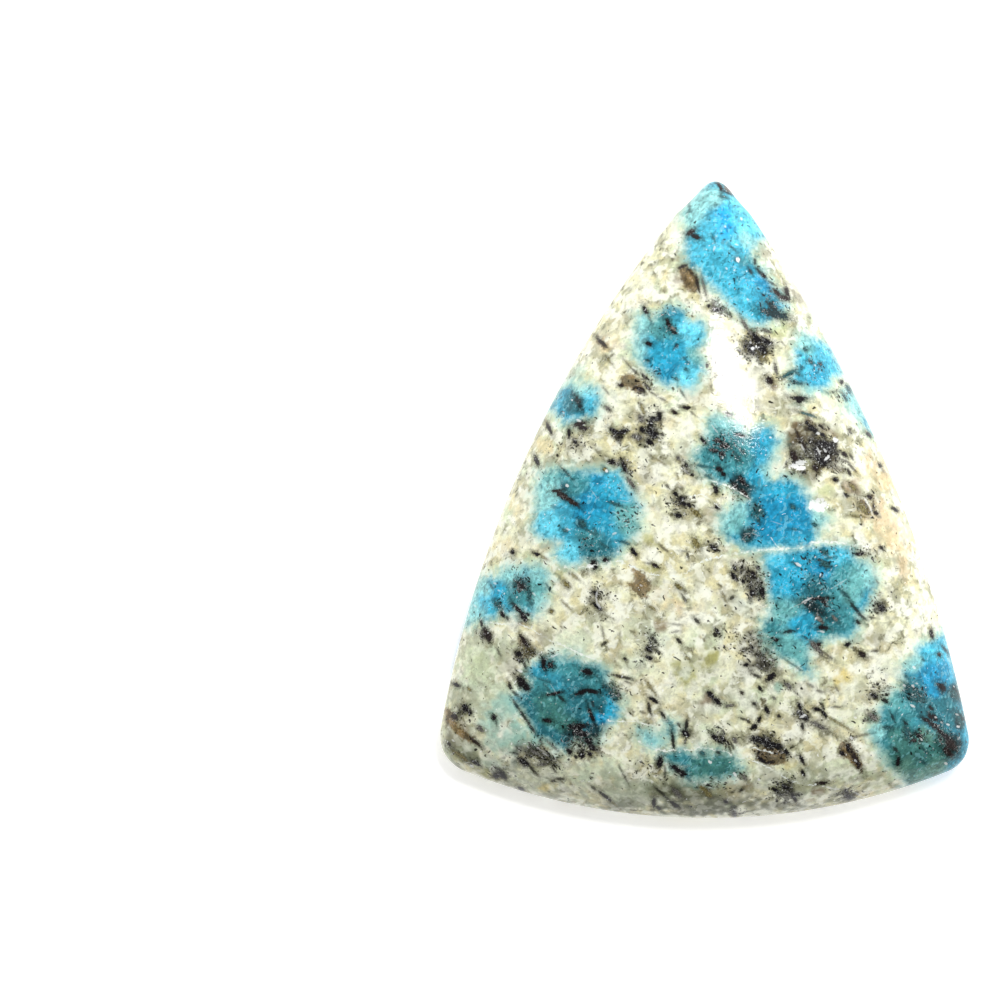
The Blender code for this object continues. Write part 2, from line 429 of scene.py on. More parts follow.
# Soft stains of colour in the pale rock, and painted shade towards the base: x, y, reach along, reach
# across, slant in degrees, strength
stainsAndShade = {
    # Mint darkened towards the base and the lower left: painted shade, where the dome turns away from the
    # light
    (184, 196, 168): [
        (478, 700, 34, 56, 0, 0.7), (500, 650, 24, 20, 0, 0.6), (545, 778, 50, 14, 14, 0.6),
        (470, 750, 24, 14, 25, 0.6), (640, 794, 70, 18, 0, 0.85), (790, 776, 60, 20, -8, 0.6),
        (760, 700, 40, 26, 0, 0.3), (600, 470, 26, 30, 0, 0.25), (700, 690, 40, 30, 0, 0.2),
    ],
    # Clean cream feldspar
    (246, 248, 218): [
        (664, 222, 9, 14, 50, 0.8), (640, 285, 12, 12, 40, 0.6), (612, 332, 13, 8, 30, 0.6),
        (618, 406, 14, 10, 0, 0.8), (600, 404, 9, 8, 0, 0.6), (678, 428, 12, 10, 0, 0.8),
        (655, 402, 9, 6, -30, 0.6), (524, 548, 9, 6, 0, 0.7), (510, 540, 12, 12, 50, 0.5),
        (652, 528, 12, 10, 0, 0.6), (665, 500, 9, 8, 0, 0.6), (572, 586, 9, 8, 0, 0.6),
        (549, 622, 12, 7, -15, 0.8), (572, 636, 13, 8, -20, 0.8), (610, 626, 14, 9, -20, 0.6),
        (630, 640, 12, 8, 0, 0.6), (628, 672, 12, 9, 0, 0.7), (663, 668, 10, 12, 0, 0.6),
        (668, 694, 13, 7, 0, 0.5), (722, 668, 14, 12, 0, 0.7), (700, 628, 12, 8, 0, 0.6),
        (738, 690, 11, 8, 0, 0.6), (770, 728, 12, 7, -20, 0.5), (822, 668, 12, 9, 0, 0.6),
        (850, 692, 12, 9, 0, 0.7), (826, 728, 10, 8, 0, 0.6), (840, 770, 12, 8, 0, 0.5),
        (815, 757, 9, 8, 0, 0.6), (705, 722, 11, 8, 0, 0.6), (590, 786, 14, 7, -20, 0.6),
        (565, 641, 17, 8, 10, 0.7), (470, 664, 10, 15, 8, 0.6), (458, 627, 8, 9, 0, 0.6),
        (600, 766, 18, 7, -10, 0.6), (618, 700, 14, 8, 0, 0.6), (568, 772, 12, 6, 20, 0.5),
        (552, 797, 10, 4, 12, 0.4), (615, 745, 9, 9, 0, 0.5), (880, 580, 9, 12, 0, 0.5),
        (838, 520, 12, 8, 0, 0.6), (842, 500, 8, 6, 0, 0.4), (885, 625, 9, 8, 0, 0.6),
        (850, 370, 7, 12, -25, 0.6), (840, 405, 11, 7, -40, 0.6), (800, 312, 8, 12, -30, 0.6),
        (770, 405, 9, 6, 0, 0.5), (725, 560, 12, 5, 0, 0.5), (692, 582, 12, 6, 0, 0.4),
        (735, 600, 8, 10, 0, 0.4), (545, 455, 8, 6, 0, 0.5), (640, 455, 9, 8, 0, 0.5),
    ],
    # Mint feldspar
    (216, 232, 202): [
        (478, 662, 18, 24, 8, 0.9), (470, 690, 10, 12, 0, 0.8), (660, 640, 20, 9, 0, 0.5),
        (502, 690, 13, 10, 0, 0.8), (612, 702, 22, 14, 0, 0.7), (632, 664, 20, 12, 0, 0.5),
        (600, 770, 30, 12, 10, 0.7), (575, 642, 24, 12, 0, 0.6), (640, 622, 18, 12, 0, 0.4),
        (485, 765, 12, 8, 30, 0.5), (705, 735, 26, 14, 0, 0.4), (850, 715, 20, 12, 0, 0.5),
        (730, 700, 12, 10, 0, 0.3), (640, 520, 10, 8, 0, 0.4), (840, 660, 14, 7, 0, 0.3),
    ],
    # Yellowish cream
    (236, 222, 170): [
        (545, 448, 9, 8, 0, 0.9), (668, 422, 10, 8, 0, 0.7), (600, 350, 14, 9, -30, 0.4),
        (612, 330, 14, 10, 0, 0.35), (508, 545, 10, 7, 0, 0.6), (706, 388, 9, 8, 0, 0.4),
        (663, 606, 10, 7, 0, 0.6), (640, 606, 9, 7, 0, 0.3), (880, 480, 16, 12, -60, 0.7),
        (885, 540, 18, 14, -50, 0.6), (905, 560, 14, 8, -60, 0.45), (865, 470, 12, 9, 0, 0.5),
        (675, 706, 12, 6, -10, 0.55), (600, 800, 12, 6, -20, 0.5), (520, 505, 8, 12, 0, 0.3),
    ],
    # Honey
    (228, 212, 140): [
        (844, 678, 8, 10, 0, 0.95), (822, 743, 6, 6, 0, 0.6), (549, 788, 8, 6, 0, 0.9),
        (607, 582, 7, 6, 0, 0.5), (700, 604, 9, 7, 0, 0.3), (792, 763, 5, 5, 0, 0.5),
    ],
    # Pale olive
    (196, 204, 150): [
        (781, 330, 8, 7, 0, 0.9), (527, 557, 10, 6, 0, 0.6), (624, 640, 7, 5, 0, 0.6),
        (686, 672, 16, 13, 0, 0.5), (826, 491, 9, 7, 0, 0.7), (480, 668, 18, 16, 0, 0.35),
        (470, 650, 12, 12, 0, 0.3), (880, 782, 16, 7, 10, 0.6), (880, 560, 14, 8, 0, 0.3),
    ],
    # Olive
    (182, 180, 112): [
        (708, 659, 9, 11, -50, 0.95), (686, 672, 13, 11, 0, 0.8), (703, 650, 7, 6, 0, 0.7),
        (652, 543, 7, 8, 0, 0.8), (696, 543, 7, 6, -60, 0.8), (688, 552, 8, 5, 0, 0.4),
        (490, 776, 11, 5, -25, 0.9), (650, 567, 9, 5, -10, 0.8), (608, 747, 7, 6, 0, 0.8),
        (563, 575, 9, 6, -40, 0.5), (860, 516, 9, 4, 0, 0.5), (458, 757, 9, 5, -40, 0.8),
        (812, 665, 5, 4, 0, 0.6), (700, 513, 6, 6, 0, 0.5),
    ],
    # Milk
    (226, 236, 222): [
        (500, 722, 20, 22, 0, 0.5), (686, 672, 7, 6, 0, 0.6), (640, 500, 14, 12, 0, 0.5),
        (745, 608, 16, 12, 0, 0.7), (650, 640, 20, 16, 0, 0.3), (838, 415, 16, 12, -50, 0.5),
        (790, 400, 12, 10, 0, 0.3), (812, 310, 18, 8, -60, 0.5), (605, 400, 14, 12, 0, 0.5),
        (775, 462, 9, 11, 0, 0.7), (890, 670, 14, 12, 0, 0.5), (860, 690, 12, 10, 0, 0.3),
        (690, 450, 12, 12, 0, 0.4),
    ],
    # Teal haze
    (158, 202, 186): [
        (505, 712, 18, 16, 0, 0.8), (520, 735, 18, 14, 0, 0.7), (505, 748, 18, 12, 0, 0.6),
        (530, 742, 12, 12, 0, 0.6), (512, 738, 14, 10, 0, 0.75), (490, 722, 12, 12, 0, 0.7),
        (500, 765, 14, 8, -20, 0.35), (575, 372, 12, 8, 40, 0.6), (570, 385, 8, 6, 40, 0.5),
        (760, 245, 8, 6, 60, 0.6), (575, 652, 14, 6, 0, 0.5), (880, 728, 8, 10, 0, 0.5),
        (525, 470, 8, 8, 0, 0.25), (660, 735, 14, 7, -30, 0.5), (778, 686, 6, 5, 0, 0.8),
        (788, 440, 8, 10, 0, 0.35), (800, 407, 9, 4, -10, 0.6), (885, 760, 8, 12, 0, 0.5),
    ],
    # Grey quartz
    (176, 172, 150): [
        (762, 250, 8, 6, -50, 0.8), (798, 298, 10, 5, -45, 0.9), (711, 512, 12, 8, -30, 0.7),
        (712, 522, 8, 6, 0, 0.6), (540, 635, 14, 6, -40, 0.9), (552, 545, 12, 5, 10, 0.8),
        (575, 445, 16, 8, 0, 0.7), (512, 665, 9, 12, -30, 0.8), (535, 650, 12, 10, 0, 0.5),
        (870, 640, 14, 10, 0, 0.6), (920, 632, 10, 6, 0, 0.5), (750, 575, 14, 14, 0, 0.5),
        (620, 500, 3, 3, 0, 0.2), (645, 480, 14, 10, 0, 0.4), (690, 520, 9, 9, 0, 0.3),
        (735, 560, 18, 8, 0, 0.4), (700, 575, 14, 9, 0, 0.3), (675, 590, 14, 8, 0, 0.3),
        (724, 600, 9, 9, 0, 0.4), (600, 600, 10, 12, 0, 0.5), (565, 585, 9, 9, -50, 0.5),
        (620, 470, 12, 10, -40, 0.5), (470, 695, 8, 9, 0, 0.5), (465, 725, 9, 9, 0, 0.5),
        (462, 640, 8, 14, 0, 0.4), (480, 640, 10, 10, -50, 0.5), (642, 730, 14, 10, -20, 0.4),
        (690, 738, 10, 8, 0, 0.5), (820, 722, 10, 7, -40, 0.6), (790, 722, 14, 9, 0, 0.5),
        (800, 690, 14, 9, -30, 0.4), (845, 705, 12, 8, 0, 0.4), (775, 400, 16, 9, 20, 0.4),
        (790, 410, 12, 9, 0, 0.4), (760, 380, 9, 12, 0, 0.5), (708, 362, 6, 14, 0, 0.35),
        (700, 400, 14, 8, -20, 0.3), (735, 620, 10, 12, 0, 0.3), (715, 635, 9, 9, 0, 0.3),
        (860, 655, 16, 5, -20, 0.4), (640, 690, 12, 12, -40, 0.4), (620, 690, 9, 9, 0, 0.3),
    ],
    # Dark quartz
    (146, 148, 118): [
        (700, 800, 40, 14, 0, 0.75), (680, 785, 22, 10, 0, 0.6), (745, 790, 18, 12, 0, 0.6),
        (640, 795, 18, 12, 0, 0.35), (800, 790, 18, 10, 10, 0.5), (720, 790, 20, 9, 0, 0.5),
        (765, 660, 14, 14, 0, 0.85), (760, 640, 12, 10, 0, 0.8), (775, 672, 14, 7, -40, 0.7),
        (800, 450, 12, 18, -20, 0.5), (808, 480, 8, 12, -40, 0.7), (840, 470, 14, 9, -50, 0.5),
        (830, 428, 12, 7, -20, 0.5), (870, 775, 14, 9, 0, 0.4), (780, 778, 12, 9, -30, 0.4),
        (820, 790, 12, 6, 10, 0.6), (955, 757, 9, 6, 40, 0.6), (462, 712, 7, 7, 0, 0.5),
        (455, 745, 10, 7, -30, 0.5),
    ],
    # Grey shadow
    (104, 102, 92): [
        (526, 652, 9, 14, -20, 0.7), (532, 752, 18, 8, 0, 0.75), (520, 746, 9, 6, 0, 0.5),
        (486, 632, 9, 6, -30, 0.6), (455, 772, 10, 8, -50, 0.4), (500, 772, 14, 5, 30, 0.5),
    ],
    # Brown
    (132, 108, 78): [
        (690, 278, 13, 9, -60, 0.8), (676, 278, 7, 9, 0, 0.5), (795, 432, 7, 12, -10, 0.9),
        (830, 432, 12, 5, -10, 0.6), (845, 484, 6, 9, -50, 0.8), (838, 468, 9, 6, -40, 0.5),
        (663, 625, 7, 6, -30, 0.8), (706, 700, 5, 9, -40, 0.8), (773, 386, 5, 5, 0, 0.7),
        (460, 728, 10, 7, -50, 0.5), (817, 790, 8, 6, 0, 0.7), (748, 787, 7, 5, 0, 0.5),
        (602, 342, 8, 5, -45, 0.5), (522, 621, 4, 3, 0, 0.8), (853, 488, 8, 8, -50, 0.4),
        (880, 500, 8, 6, -30, 0.35), (846, 750, 8, 8, -50, 0.6), (520, 640, 5, 6, -50, 0.7),
        (900, 564, 6, 5, -60, 0.7), (447, 718, 5, 10, 20, 0.5), (650, 545, 4, 4, 0, 0.2),
        (900, 508, 7, 4, -20, 0.4), (664, 464, 6, 3, -30, 0.3), (695, 398, 6, 3, 0, 0.4),
    ],
    # Tan
    (230, 204, 160): [
        (886, 472, 14, 24, 30, 0.7), (894, 535, 13, 28, 30, 0.7), (872, 512, 16, 13, -60, 0.6),
        (905, 570, 9, 16, 30, 0.55), (868, 462, 9, 8, 0, 0.6), (610, 345, 12, 10, 0, 0.35),
        (676, 606, 12, 8, -30, 0.5), (658, 590, 8, 10, -50, 0.5), (850, 488, 9, 9, 0, 0.5),
    ],
    # Darker along the lower edge: partly the rock's olive grey, partly painted shade where the dome turns
    # away from the light
    (94, 100, 76): [
        (620, 806, 22, 7, 12, 0.7), (700, 808, 40, 9, 0, 0.85), (780, 806, 26, 8, -6, 0.7),
        (560, 792, 20, 6, 14, 0.5), (665, 790, 14, 9, 0, 0.5), (740, 800, 20, 10, 0, 0.6),
        (720, 775, 18, 8, 0, 0.5), (690, 790, 16, 10, 0, 0.5), (840, 800, 16, 6, -10, 0.6),
        (505, 770, 14, 6, 20, 0.5), (470, 757, 9, 6, 25, 0.6), (452, 735, 6, 14, -12, 0.5),
        (455, 700, 6, 12, 0, 0.35), (820, 770, 14, 8, -30, 0.3), (900, 790, 14, 5, -20, 0.6),
        (640, 765, 14, 8, 0, 0.4), (770, 775, 12, 8, 0, 0.5), (610, 775, 9, 9, 0, 0.3),
    ],
    # Brown shadow under the mica
    (98, 84, 58): [
        (803, 438, 11, 20, -15, 0.85), (818, 452, 16, 17, -20, 0.8), (812, 468, 10, 11, -30, 0.7),
        (814, 428, 12, 8, 0, 0.7), (834, 466, 12, 7, -50, 0.5), (852, 490, 8, 9, -50, 0.5),
        (455, 735, 12, 8, -50, 0.45), (690, 283, 10, 12, -60, 0.5), (855, 757, 9, 12, -50, 0.5),
    ],
    # Near-black hearts of the mica
    (50, 46, 42): [
        (722, 309, 13, 5, -38, 0.6), (748, 348, 7, 10, 0, 0.5), (818, 446, 9, 12, -30, 0.95),
        (826, 452, 8, 9, -30, 0.9), (812, 436, 7, 7, 0, 0.8), (806, 455, 7, 7, 0, 0.85),
        (824, 460, 7, 6, 0, 0.85), (805, 431, 6, 8, 20, 0.7), (757, 345, 9, 9, -40, 0.8),
        (766, 349, 6, 6, 0, 0.8), (652, 432, 8, 8, 0, 0.7), (617, 436, 7, 5, 0, 0.7),
        (660, 416, 5, 5, 0, 0.6), (686, 471, 6, 5, -40, 0.6), (683, 503, 6, 6, -40, 0.7),
        (755, 590, 7, 12, 0, 0.75), (744, 573, 8, 7, -50, 0.6), (760, 645, 9, 8, 0, 0.55),
        (756, 662, 9, 7, 0, 0.55), (770, 668, 7, 6, 0, 0.45), (583, 738, 9, 12, -30, 0.8),
        (574, 730, 8, 6, 0, 0.6), (545, 757, 12, 6, -20, 0.5), (527, 760, 8, 6, -40, 0.5),
        (597, 745, 8, 8, 0, 0.6), (768, 744, 16, 5, -25, 0.8), (612, 688, 6, 6, 0, 0.5),
        (649, 650, 7, 7, 0, 0.55), (488, 636, 5, 6, -50, 0.7), (523, 679, 6, 8, -40, 0.7),
        (539, 655, 12, 5, -10, 0.4), (520, 612, 6, 8, -50, 0.5), (625, 467, 6, 8, -40, 0.6),
        (713, 547, 6, 4, 0, 0.6), (880, 609, 5, 6, 0, 0.6), (851, 795, 9, 4, 0, 0.8),
        (788, 793, 7, 8, -40, 0.6), (722, 739, 7, 4, -20, 0.6), (720, 309, 14, 4, -38, 0.6),
        (752, 330, 5, 4, -30, 0.5), (783, 293, 6, 5, -40, 0.7), (771, 381, 5, 4, 0, 0.7),
        (686, 730, 4, 8, 0, 0.6), (678, 770, 9, 5, -20, 0.6), (660, 762, 5, 5, 0, 0.7),
        (805, 716, 6, 5, 0, 0.6), (462, 710, 6, 5, -40, 0.5), (475, 762, 5, 4, 0, 0.5),
        (500, 776, 5, 4, 0, 0.6), (856, 762, 4, 9, 25, 0.5), (898, 758, 5, 7, 0, 0.5),
        (595, 598, 4, 8, 0, 0.5),
    ],
    # Grey round the mica
    (92, 90, 82): [
        (782, 293, 8, 7, -40, 0.9), (617, 436, 9, 8, 0, 0.8), (648, 436, 12, 9, 0, 0.55),
        (812, 442, 9, 10, 0, 0.8), (797, 455, 6, 7, 0, 0.7), (738, 259, 6, 6, 0, 0.5),
        (756, 345, 12, 10, -40, 0.75), (757, 583, 9, 13, 0, 0.75), (760, 655, 13, 13, 0, 0.85),
        (750, 640, 10, 10, 0, 0.6), (745, 668, 12, 8, -30, 0.5), (768, 742, 18, 6, -25, 0.8),
        (768, 757, 14, 6, 0, 0.5), (580, 738, 12, 14, -30, 0.8), (540, 752, 16, 9, -15, 0.55),
        (613, 690, 8, 8, -30, 0.6), (648, 650, 9, 8, 0, 0.5), (720, 737, 9, 5, -20, 0.6),
        (655, 372, 6, 6, 0, 0.5), (686, 470, 8, 5, -50, 0.7), (681, 502, 8, 9, -40, 0.5),
        (624, 465, 8, 6, -50, 0.6), (488, 635, 6, 7, -50, 0.7), (879, 608, 6, 8, 0, 0.5),
        (876, 697, 9, 4, -20, 0.6), (873, 717, 6, 4, 0, 0.7), (785, 793, 10, 10, -30, 0.6),
        (850, 794, 10, 5, 10, 0.6), (548, 660, 9, 6, 0, 0.5), (524, 675, 7, 8, -60, 0.4),
        (741, 568, 9, 6, -60, 0.5), (722, 308, 17, 6, -38, 0.4), (603, 595, 6, 5, 0, 0.4),
        (465, 709, 5, 5, 0, 0.6), (845, 393, 6, 4, -30, 0.4),
    ],
}

# Mica: each flake from end to end with its width
mica = {
    # Black flakes
    (24, 22, 24): [
        (718, 183, 722, 190, 4), (722, 190, 733, 195, 2.6), (692, 235, 699, 238, 4.2),
        (755, 259, 755, 264, 2.6), (757, 269, 763, 276, 2.8), (762, 274, 765, 277, 3.6),
        (749, 269, 751, 273, 2.8), (768, 281, 776, 286, 2.2), (708, 306, 709, 306, 4),
        (713, 310, 719, 310, 3.2), (644, 307, 647, 313, 3.8), (667, 320, 670, 328, 4),
        (670, 329, 677, 334, 3), (647, 343, 651, 345, 3.6), (675, 347, 678, 344, 2.6),
        (641, 428, 643, 431, 4.5), (651, 419, 660, 419, 4.6), (659, 413, 660, 420, 4),
        (651, 419, 651, 426, 4), (649, 431, 653, 434, 6), (651, 435, 657, 434, 5),
        (661, 434, 663, 435, 2.6), (648, 441, 652, 444, 5), (645, 446, 648, 447, 2.4),
        (611, 429, 618, 433, 4), (618, 433, 626, 431, 4.4), (569, 430, 569, 437, 3.2),
        (574, 441, 576, 443, 3.4), (793, 398, 805, 399, 4.6), (797, 400, 800, 402, 4),
        (806, 423, 807, 423, 3.6), (809, 426, 816, 431, 5), (821, 434, 824, 436, 4),
        (818, 444, 826, 444, 6), (827, 446, 829, 450, 6), (815, 450, 818, 455, 4.6),
        (818, 458, 823, 464, 4.6), (821, 461, 825, 462, 5), (802, 472, 806, 473, 2.8),
        (867, 433, 870, 436, 3.4), (750, 347, 752, 351, 6), (753, 334, 759, 341, 4.6),
        (764, 340, 771, 344, 5), (760, 346, 764, 350, 6), (535, 457, 538, 464, 3.6),
        (610, 461, 614, 463, 5), (622, 461, 626, 472, 3.6), (562, 468, 571, 478, 2.1),
        (593, 562, 595, 568, 6), (604, 560, 607, 560, 4), (632, 550, 636, 555, 4),
        (534, 553, 539, 555, 3.2), (512, 551, 513, 553, 3.6), (680, 498, 683, 500, 5),
        (676, 515, 681, 516, 4.4), (688, 504, 690, 506, 3.6), (683, 503, 686, 505, 3.6),
        (674, 492, 677, 495, 3.6), (715, 487, 717, 492, 5), (716, 506, 718, 508, 3.6),
        (701, 438, 705, 443, 3.2), (718, 468, 721, 471, 5), (722, 473, 724, 475, 3.6),
        (737, 434, 744, 436, 3), (716, 439, 721, 442, 3.6), (722, 445, 728, 447, 5.6),
        (711, 450, 717, 451, 3.6), (720, 453, 723, 455, 4), (733, 484, 736, 487, 3.6),
        (740, 478, 745, 484, 4), (711, 546, 716, 550, 3.6), (682, 551, 689, 552, 1.8),
        (687, 552, 688, 557, 2.6), (514, 605, 522, 614, 3.8), (521, 613, 526, 620, 5.4),
        (501, 612, 504, 617, 3.2), (506, 617, 508, 619, 2.6), (527, 614, 529, 615, 3),
        (519, 585, 523, 588, 5), (481, 621, 482, 626, 3), (497, 648, 500, 655, 2.1),
        (517, 653, 520, 655, 5), (519, 659, 520, 662, 3), (523, 661, 526, 668, 2.6),
        (543, 659, 544, 667, 4.6), (549, 664, 552, 666, 5), (584, 671, 591, 673, 6),
        (519, 679, 524, 686, 8), (525, 686, 528, 689, 6), (509, 683, 511, 689, 3),
        (512, 691, 518, 696, 2.4), (548, 695, 561, 692, 3.4), (557, 694, 564, 701, 2.6),
        (577, 694, 587, 690, 4), (587, 690, 598, 693, 3.6), (454, 684, 459, 686, 3.8),
        (464, 706, 467, 710, 5), (469, 712, 471, 713, 3.4), (493, 716, 495, 719, 4),
        (495, 719, 497, 725, 2), (513, 700, 520, 711, 2.4), (520, 711, 527, 721, 2.8),
        (527, 721, 535, 733, 2.8), (545, 720, 550, 721, 4.2), (589, 709, 594, 722, 3.2),
        (592, 702, 594, 707, 2.4), (511, 753, 518, 754, 2), (520, 759, 528, 765, 5.4),
        (528, 764, 536, 773, 2.6), (571, 727, 584, 726, 7), (576, 731, 586, 735, 7),
        (586, 739, 590, 743, 5), (590, 746, 594, 749, 6), (589, 753, 591, 755, 3.6),
        (568, 750, 571, 753, 5), (575, 756, 577, 758, 3), (580, 755, 583, 757, 5),
        (552, 767, 556, 772, 2.2), (552, 781, 555, 781, 2.6), (557, 779, 563, 779, 2.6),
        (495, 776, 498, 776, 5), (500, 773, 505, 778, 5), (472, 761, 479, 765, 3),
        (519, 788, 523, 790, 3.4), (594, 604, 601, 610, 3.4), (594, 592, 597, 594, 4),
        (682, 595, 686, 601, 2.4), (719, 585, 722, 587, 2.2), (730, 599, 733, 597, 2.6),
        (695, 619, 699, 623, 2.8), (716, 630, 719, 634, 3.2), (677, 639, 681, 643, 3),
        (602, 645, 606, 642, 2.6), (624, 658, 626, 660, 3), (652, 637, 656, 642, 2.6),
        (647, 648, 650, 650, 3.6), (656, 650, 660, 653, 2.6), (647, 657, 652, 659, 3.6),
        (614, 675, 631, 679, 2.8), (625, 681, 630, 683, 2), (733, 566, 736, 571, 2.8),
        (732, 573, 736, 579, 4.6), (752, 572, 754, 575, 3.6), (761, 587, 763, 597, 4.6),
        (751, 592, 753, 594, 5), (742, 580, 744, 582, 3.4), (856, 554, 863, 554, 3.4),
        (880, 547, 883, 549, 3), (811, 599, 827, 598, 3.4), (823, 601, 826, 603, 4.6),
        (850, 602, 859, 613, 2.8), (858, 613, 864, 618, 2.6), (870, 617, 875, 618, 2),
        (857, 621, 859, 623, 3), (880, 606, 883, 610, 5), (818, 627, 827, 628, 4),
        (785, 632, 793, 631, 2.8), (775, 640, 777, 640, 3.4), (804, 636, 807, 639, 2.4),
        (745, 665, 747, 665, 3.4), (753, 674, 760, 677, 2.8), (768, 679, 774, 675, 6),
        (846, 645, 849, 644, 4), (759, 687, 761, 690, 3.4), (753, 703, 756, 705, 3),
        (766, 708, 768, 712, 4), (778, 715, 780, 717, 3), (799, 704, 801, 711, 3.4),
        (799, 713, 807, 719, 6.4), (802, 724, 803, 729, 3), (814, 708, 822, 711, 3.2),
        (822, 711, 826, 716, 3.2), (822, 704, 824, 710, 2.6), (740, 718, 747, 720, 2.6),
        (747, 720, 750, 723, 2.8), (752, 728, 756, 725, 4.6), (758, 722, 760, 718, 3.6),
        (752, 738, 763, 740, 6), (762, 740, 771, 746, 7), (770, 744, 781, 747, 5),
        (785, 751, 788, 754, 4), (759, 758, 766, 763, 3.6), (766, 763, 773, 762, 3),
        (800, 756, 804, 763, 3.4), (802, 771, 804, 775, 3.2), (783, 786, 787, 788, 3.4),
        (773, 789, 777, 791, 3.4), (792, 794, 796, 801, 3.4), (709, 693, 713, 698, 4.4),
        (714, 699, 720, 703, 5.2), (650, 698, 657, 702, 3.6), (648, 703, 651, 714, 2.8),
        (661, 712, 665, 718, 3), (641, 712, 645, 713, 1.8), (687, 721, 686, 728, 3),
        (684, 732, 687, 735, 7), (686, 737, 685, 743, 2.4), (678, 724, 680, 725, 2.4),
        (672, 733, 674, 748, 3), (713, 736, 717, 739, 4.6), (721, 738, 725, 741, 4),
        (661, 758, 659, 766, 5.6), (672, 766, 683, 774, 4.6), (681, 772, 684, 775, 6),
        (665, 767, 665, 778, 2), (717, 752, 719, 753, 2.6), (619, 766, 622, 772, 1.8),
        (622, 772, 628, 783, 1.8), (591, 786, 596, 790, 2.4), (600, 792, 611, 801, 3),
        (656, 788, 667, 798, 2.4), (654, 799, 654, 806, 4), (657, 807, 660, 809, 3),
        (671, 802, 678, 807, 3.6), (725, 801, 727, 802, 3.4), (740, 791, 742, 789, 2.6),
        (732, 793, 735, 790, 1.8), (734, 812, 735, 816, 3.6), (728, 745, 731, 752, 2.2),
        (731, 743, 734, 749, 2.4), (872, 694, 876, 697, 4), (883, 699, 887, 702, 3),
        (931, 630, 932, 637, 4), (938, 654, 940, 655, 3.6), (943, 647, 947, 652, 2.6),
        (937, 684, 940, 685, 3), (940, 685, 944, 689, 5.4), (930, 707, 932, 709, 3),
        (891, 714, 895, 721, 2.4), (923, 718, 930, 722, 3.2), (929, 714, 932, 720, 3.4),
        (932, 716, 937, 720, 5), (930, 723, 938, 728, 5), (937, 728, 943, 734, 3.4),
        (943, 734, 952, 743, 5.4), (905, 722, 907, 725, 2.8), (916, 734, 921, 737, 4.6),
        (911, 742, 916, 739, 2.4), (894, 748, 897, 751, 2.6), (898, 758, 898, 765, 4),
        (926, 731, 928, 732, 2.2), (845, 790, 848, 793, 3), (846, 796, 851, 798, 4),
        (847, 744, 849, 751, 3.6), (841, 752, 843, 754, 4), (879, 464, 881, 467, 3),
        (893, 508, 897, 511, 3.2), (834, 479, 837, 480, 4), (845, 494, 848, 496, 3),
        (569, 573, 570, 574, 2), (841, 381, 842, 383, 3.6), (820, 363, 821, 365, 3),
    ],
    # Brown-black flakes
    (42, 34, 32): [
        (688, 234, 693, 231, 5), (689, 270, 694, 276, 2.4), (696, 277, 699, 291, 2.8),
        (679, 268, 686, 265, 3), (597, 338, 606, 347, 3), (625, 361, 632, 369, 1.8),
        (632, 369, 638, 374, 2.2), (620, 385, 622, 386, 4), (637, 388, 643, 391, 4),
        (683, 407, 689, 408, 3.6), (690, 411, 696, 416, 1.7), (673, 411, 676, 413, 3.6),
        (575, 425, 585, 423, 5), (580, 427, 586, 429, 5), (547, 424, 551, 432, 3.4),
        (646, 385, 650, 390, 3), (642, 374, 646, 379, 2.8), (651, 392, 657, 396, 1.8),
        (660, 398, 666, 401, 1.8), (680, 390, 685, 397, 2), (768, 379, 771, 382, 6),
        (553, 491, 560, 491, 3.2), (557, 492, 569, 500, 5.4), (566, 498, 577, 505, 4.6),
        (742, 491, 747, 496, 3.6), (666, 485, 669, 488, 2.4), (712, 484, 715, 487, 2.6),
        (521, 636, 527, 646, 4), (484, 630, 490, 639, 6), (453, 715, 456, 718, 5),
        (448, 743, 450, 745, 3), (471, 738, 480, 746, 3), (652, 564, 658, 567, 3.2),
        (647, 563, 652, 564, 2), (661, 546, 668, 552, 2.2), (872, 651, 878, 651, 2.2),
        (860, 653, 864, 656, 5), (892, 508, 894, 509, 3), (868, 496, 871, 498, 3.6),
        (873, 505, 874, 509, 2.6), (874, 512, 877, 514, 3.4), (848, 470, 850, 474, 3),
        (841, 459, 849, 463, 2.2), (849, 464, 856, 472, 2.4), (843, 453, 846, 456, 4),
        (850, 455, 853, 459, 2.4), (801, 440, 806, 448, 3), (796, 431, 800, 440, 2.4),
        (792, 452, 796, 460, 6), (814, 466, 817, 470, 4), (948, 741, 954, 748, 9),
        (946, 748, 950, 755, 7), (843, 394, 846, 400, 2.2), (831, 392, 838, 391, 1.7),
        (838, 391, 845, 395, 1.7), (852, 752, 860, 768, 4.4), (774, 290, 780, 296, 4),
        (780, 297, 789, 299, 5), (786, 288, 788, 296, 4), (818, 783, 826, 783, 3.4),
        (822, 651, 831, 658, 2.2), (818, 644, 819, 646, 5), (912, 741, 915, 740, 3.4),
        (741, 692, 743, 694, 3),
    ],
    # Flakes veiled by the blue
    (46, 88, 92): [
        (730, 246, 735, 250, 2.2), (712, 236, 715, 240, 2.2), (720, 196, 727, 198, 2.6),
        (689, 204, 690, 209, 2), (690, 209, 688, 213, 2), (647, 314, 652, 323, 2),
        (683, 357, 689, 363, 1.9), (647, 360, 649, 361, 3), (675, 378, 677, 379, 2.8),
        (685, 369, 687, 370, 2.6), (805, 349, 806, 350, 3.6), (797, 356, 801, 355, 2),
        (809, 360, 812, 363, 3), (783, 377, 795, 371, 3.6), (795, 372, 800, 375, 2.6),
        (794, 382, 801, 384, 2.8), (847, 386, 850, 391, 3.4), (800, 412, 816, 417, 2.8),
        (610, 502, 620, 506, 2.6), (585, 529, 595, 534, 2.4), (581, 521, 585, 526, 4),
        (594, 529, 597, 534, 2.2), (600, 543, 607, 547, 1.9), (563, 530, 566, 531, 2.8),
        (623, 542, 628, 544, 2.6), (736, 456, 739, 460, 3.6), (741, 450, 744, 453, 3.4),
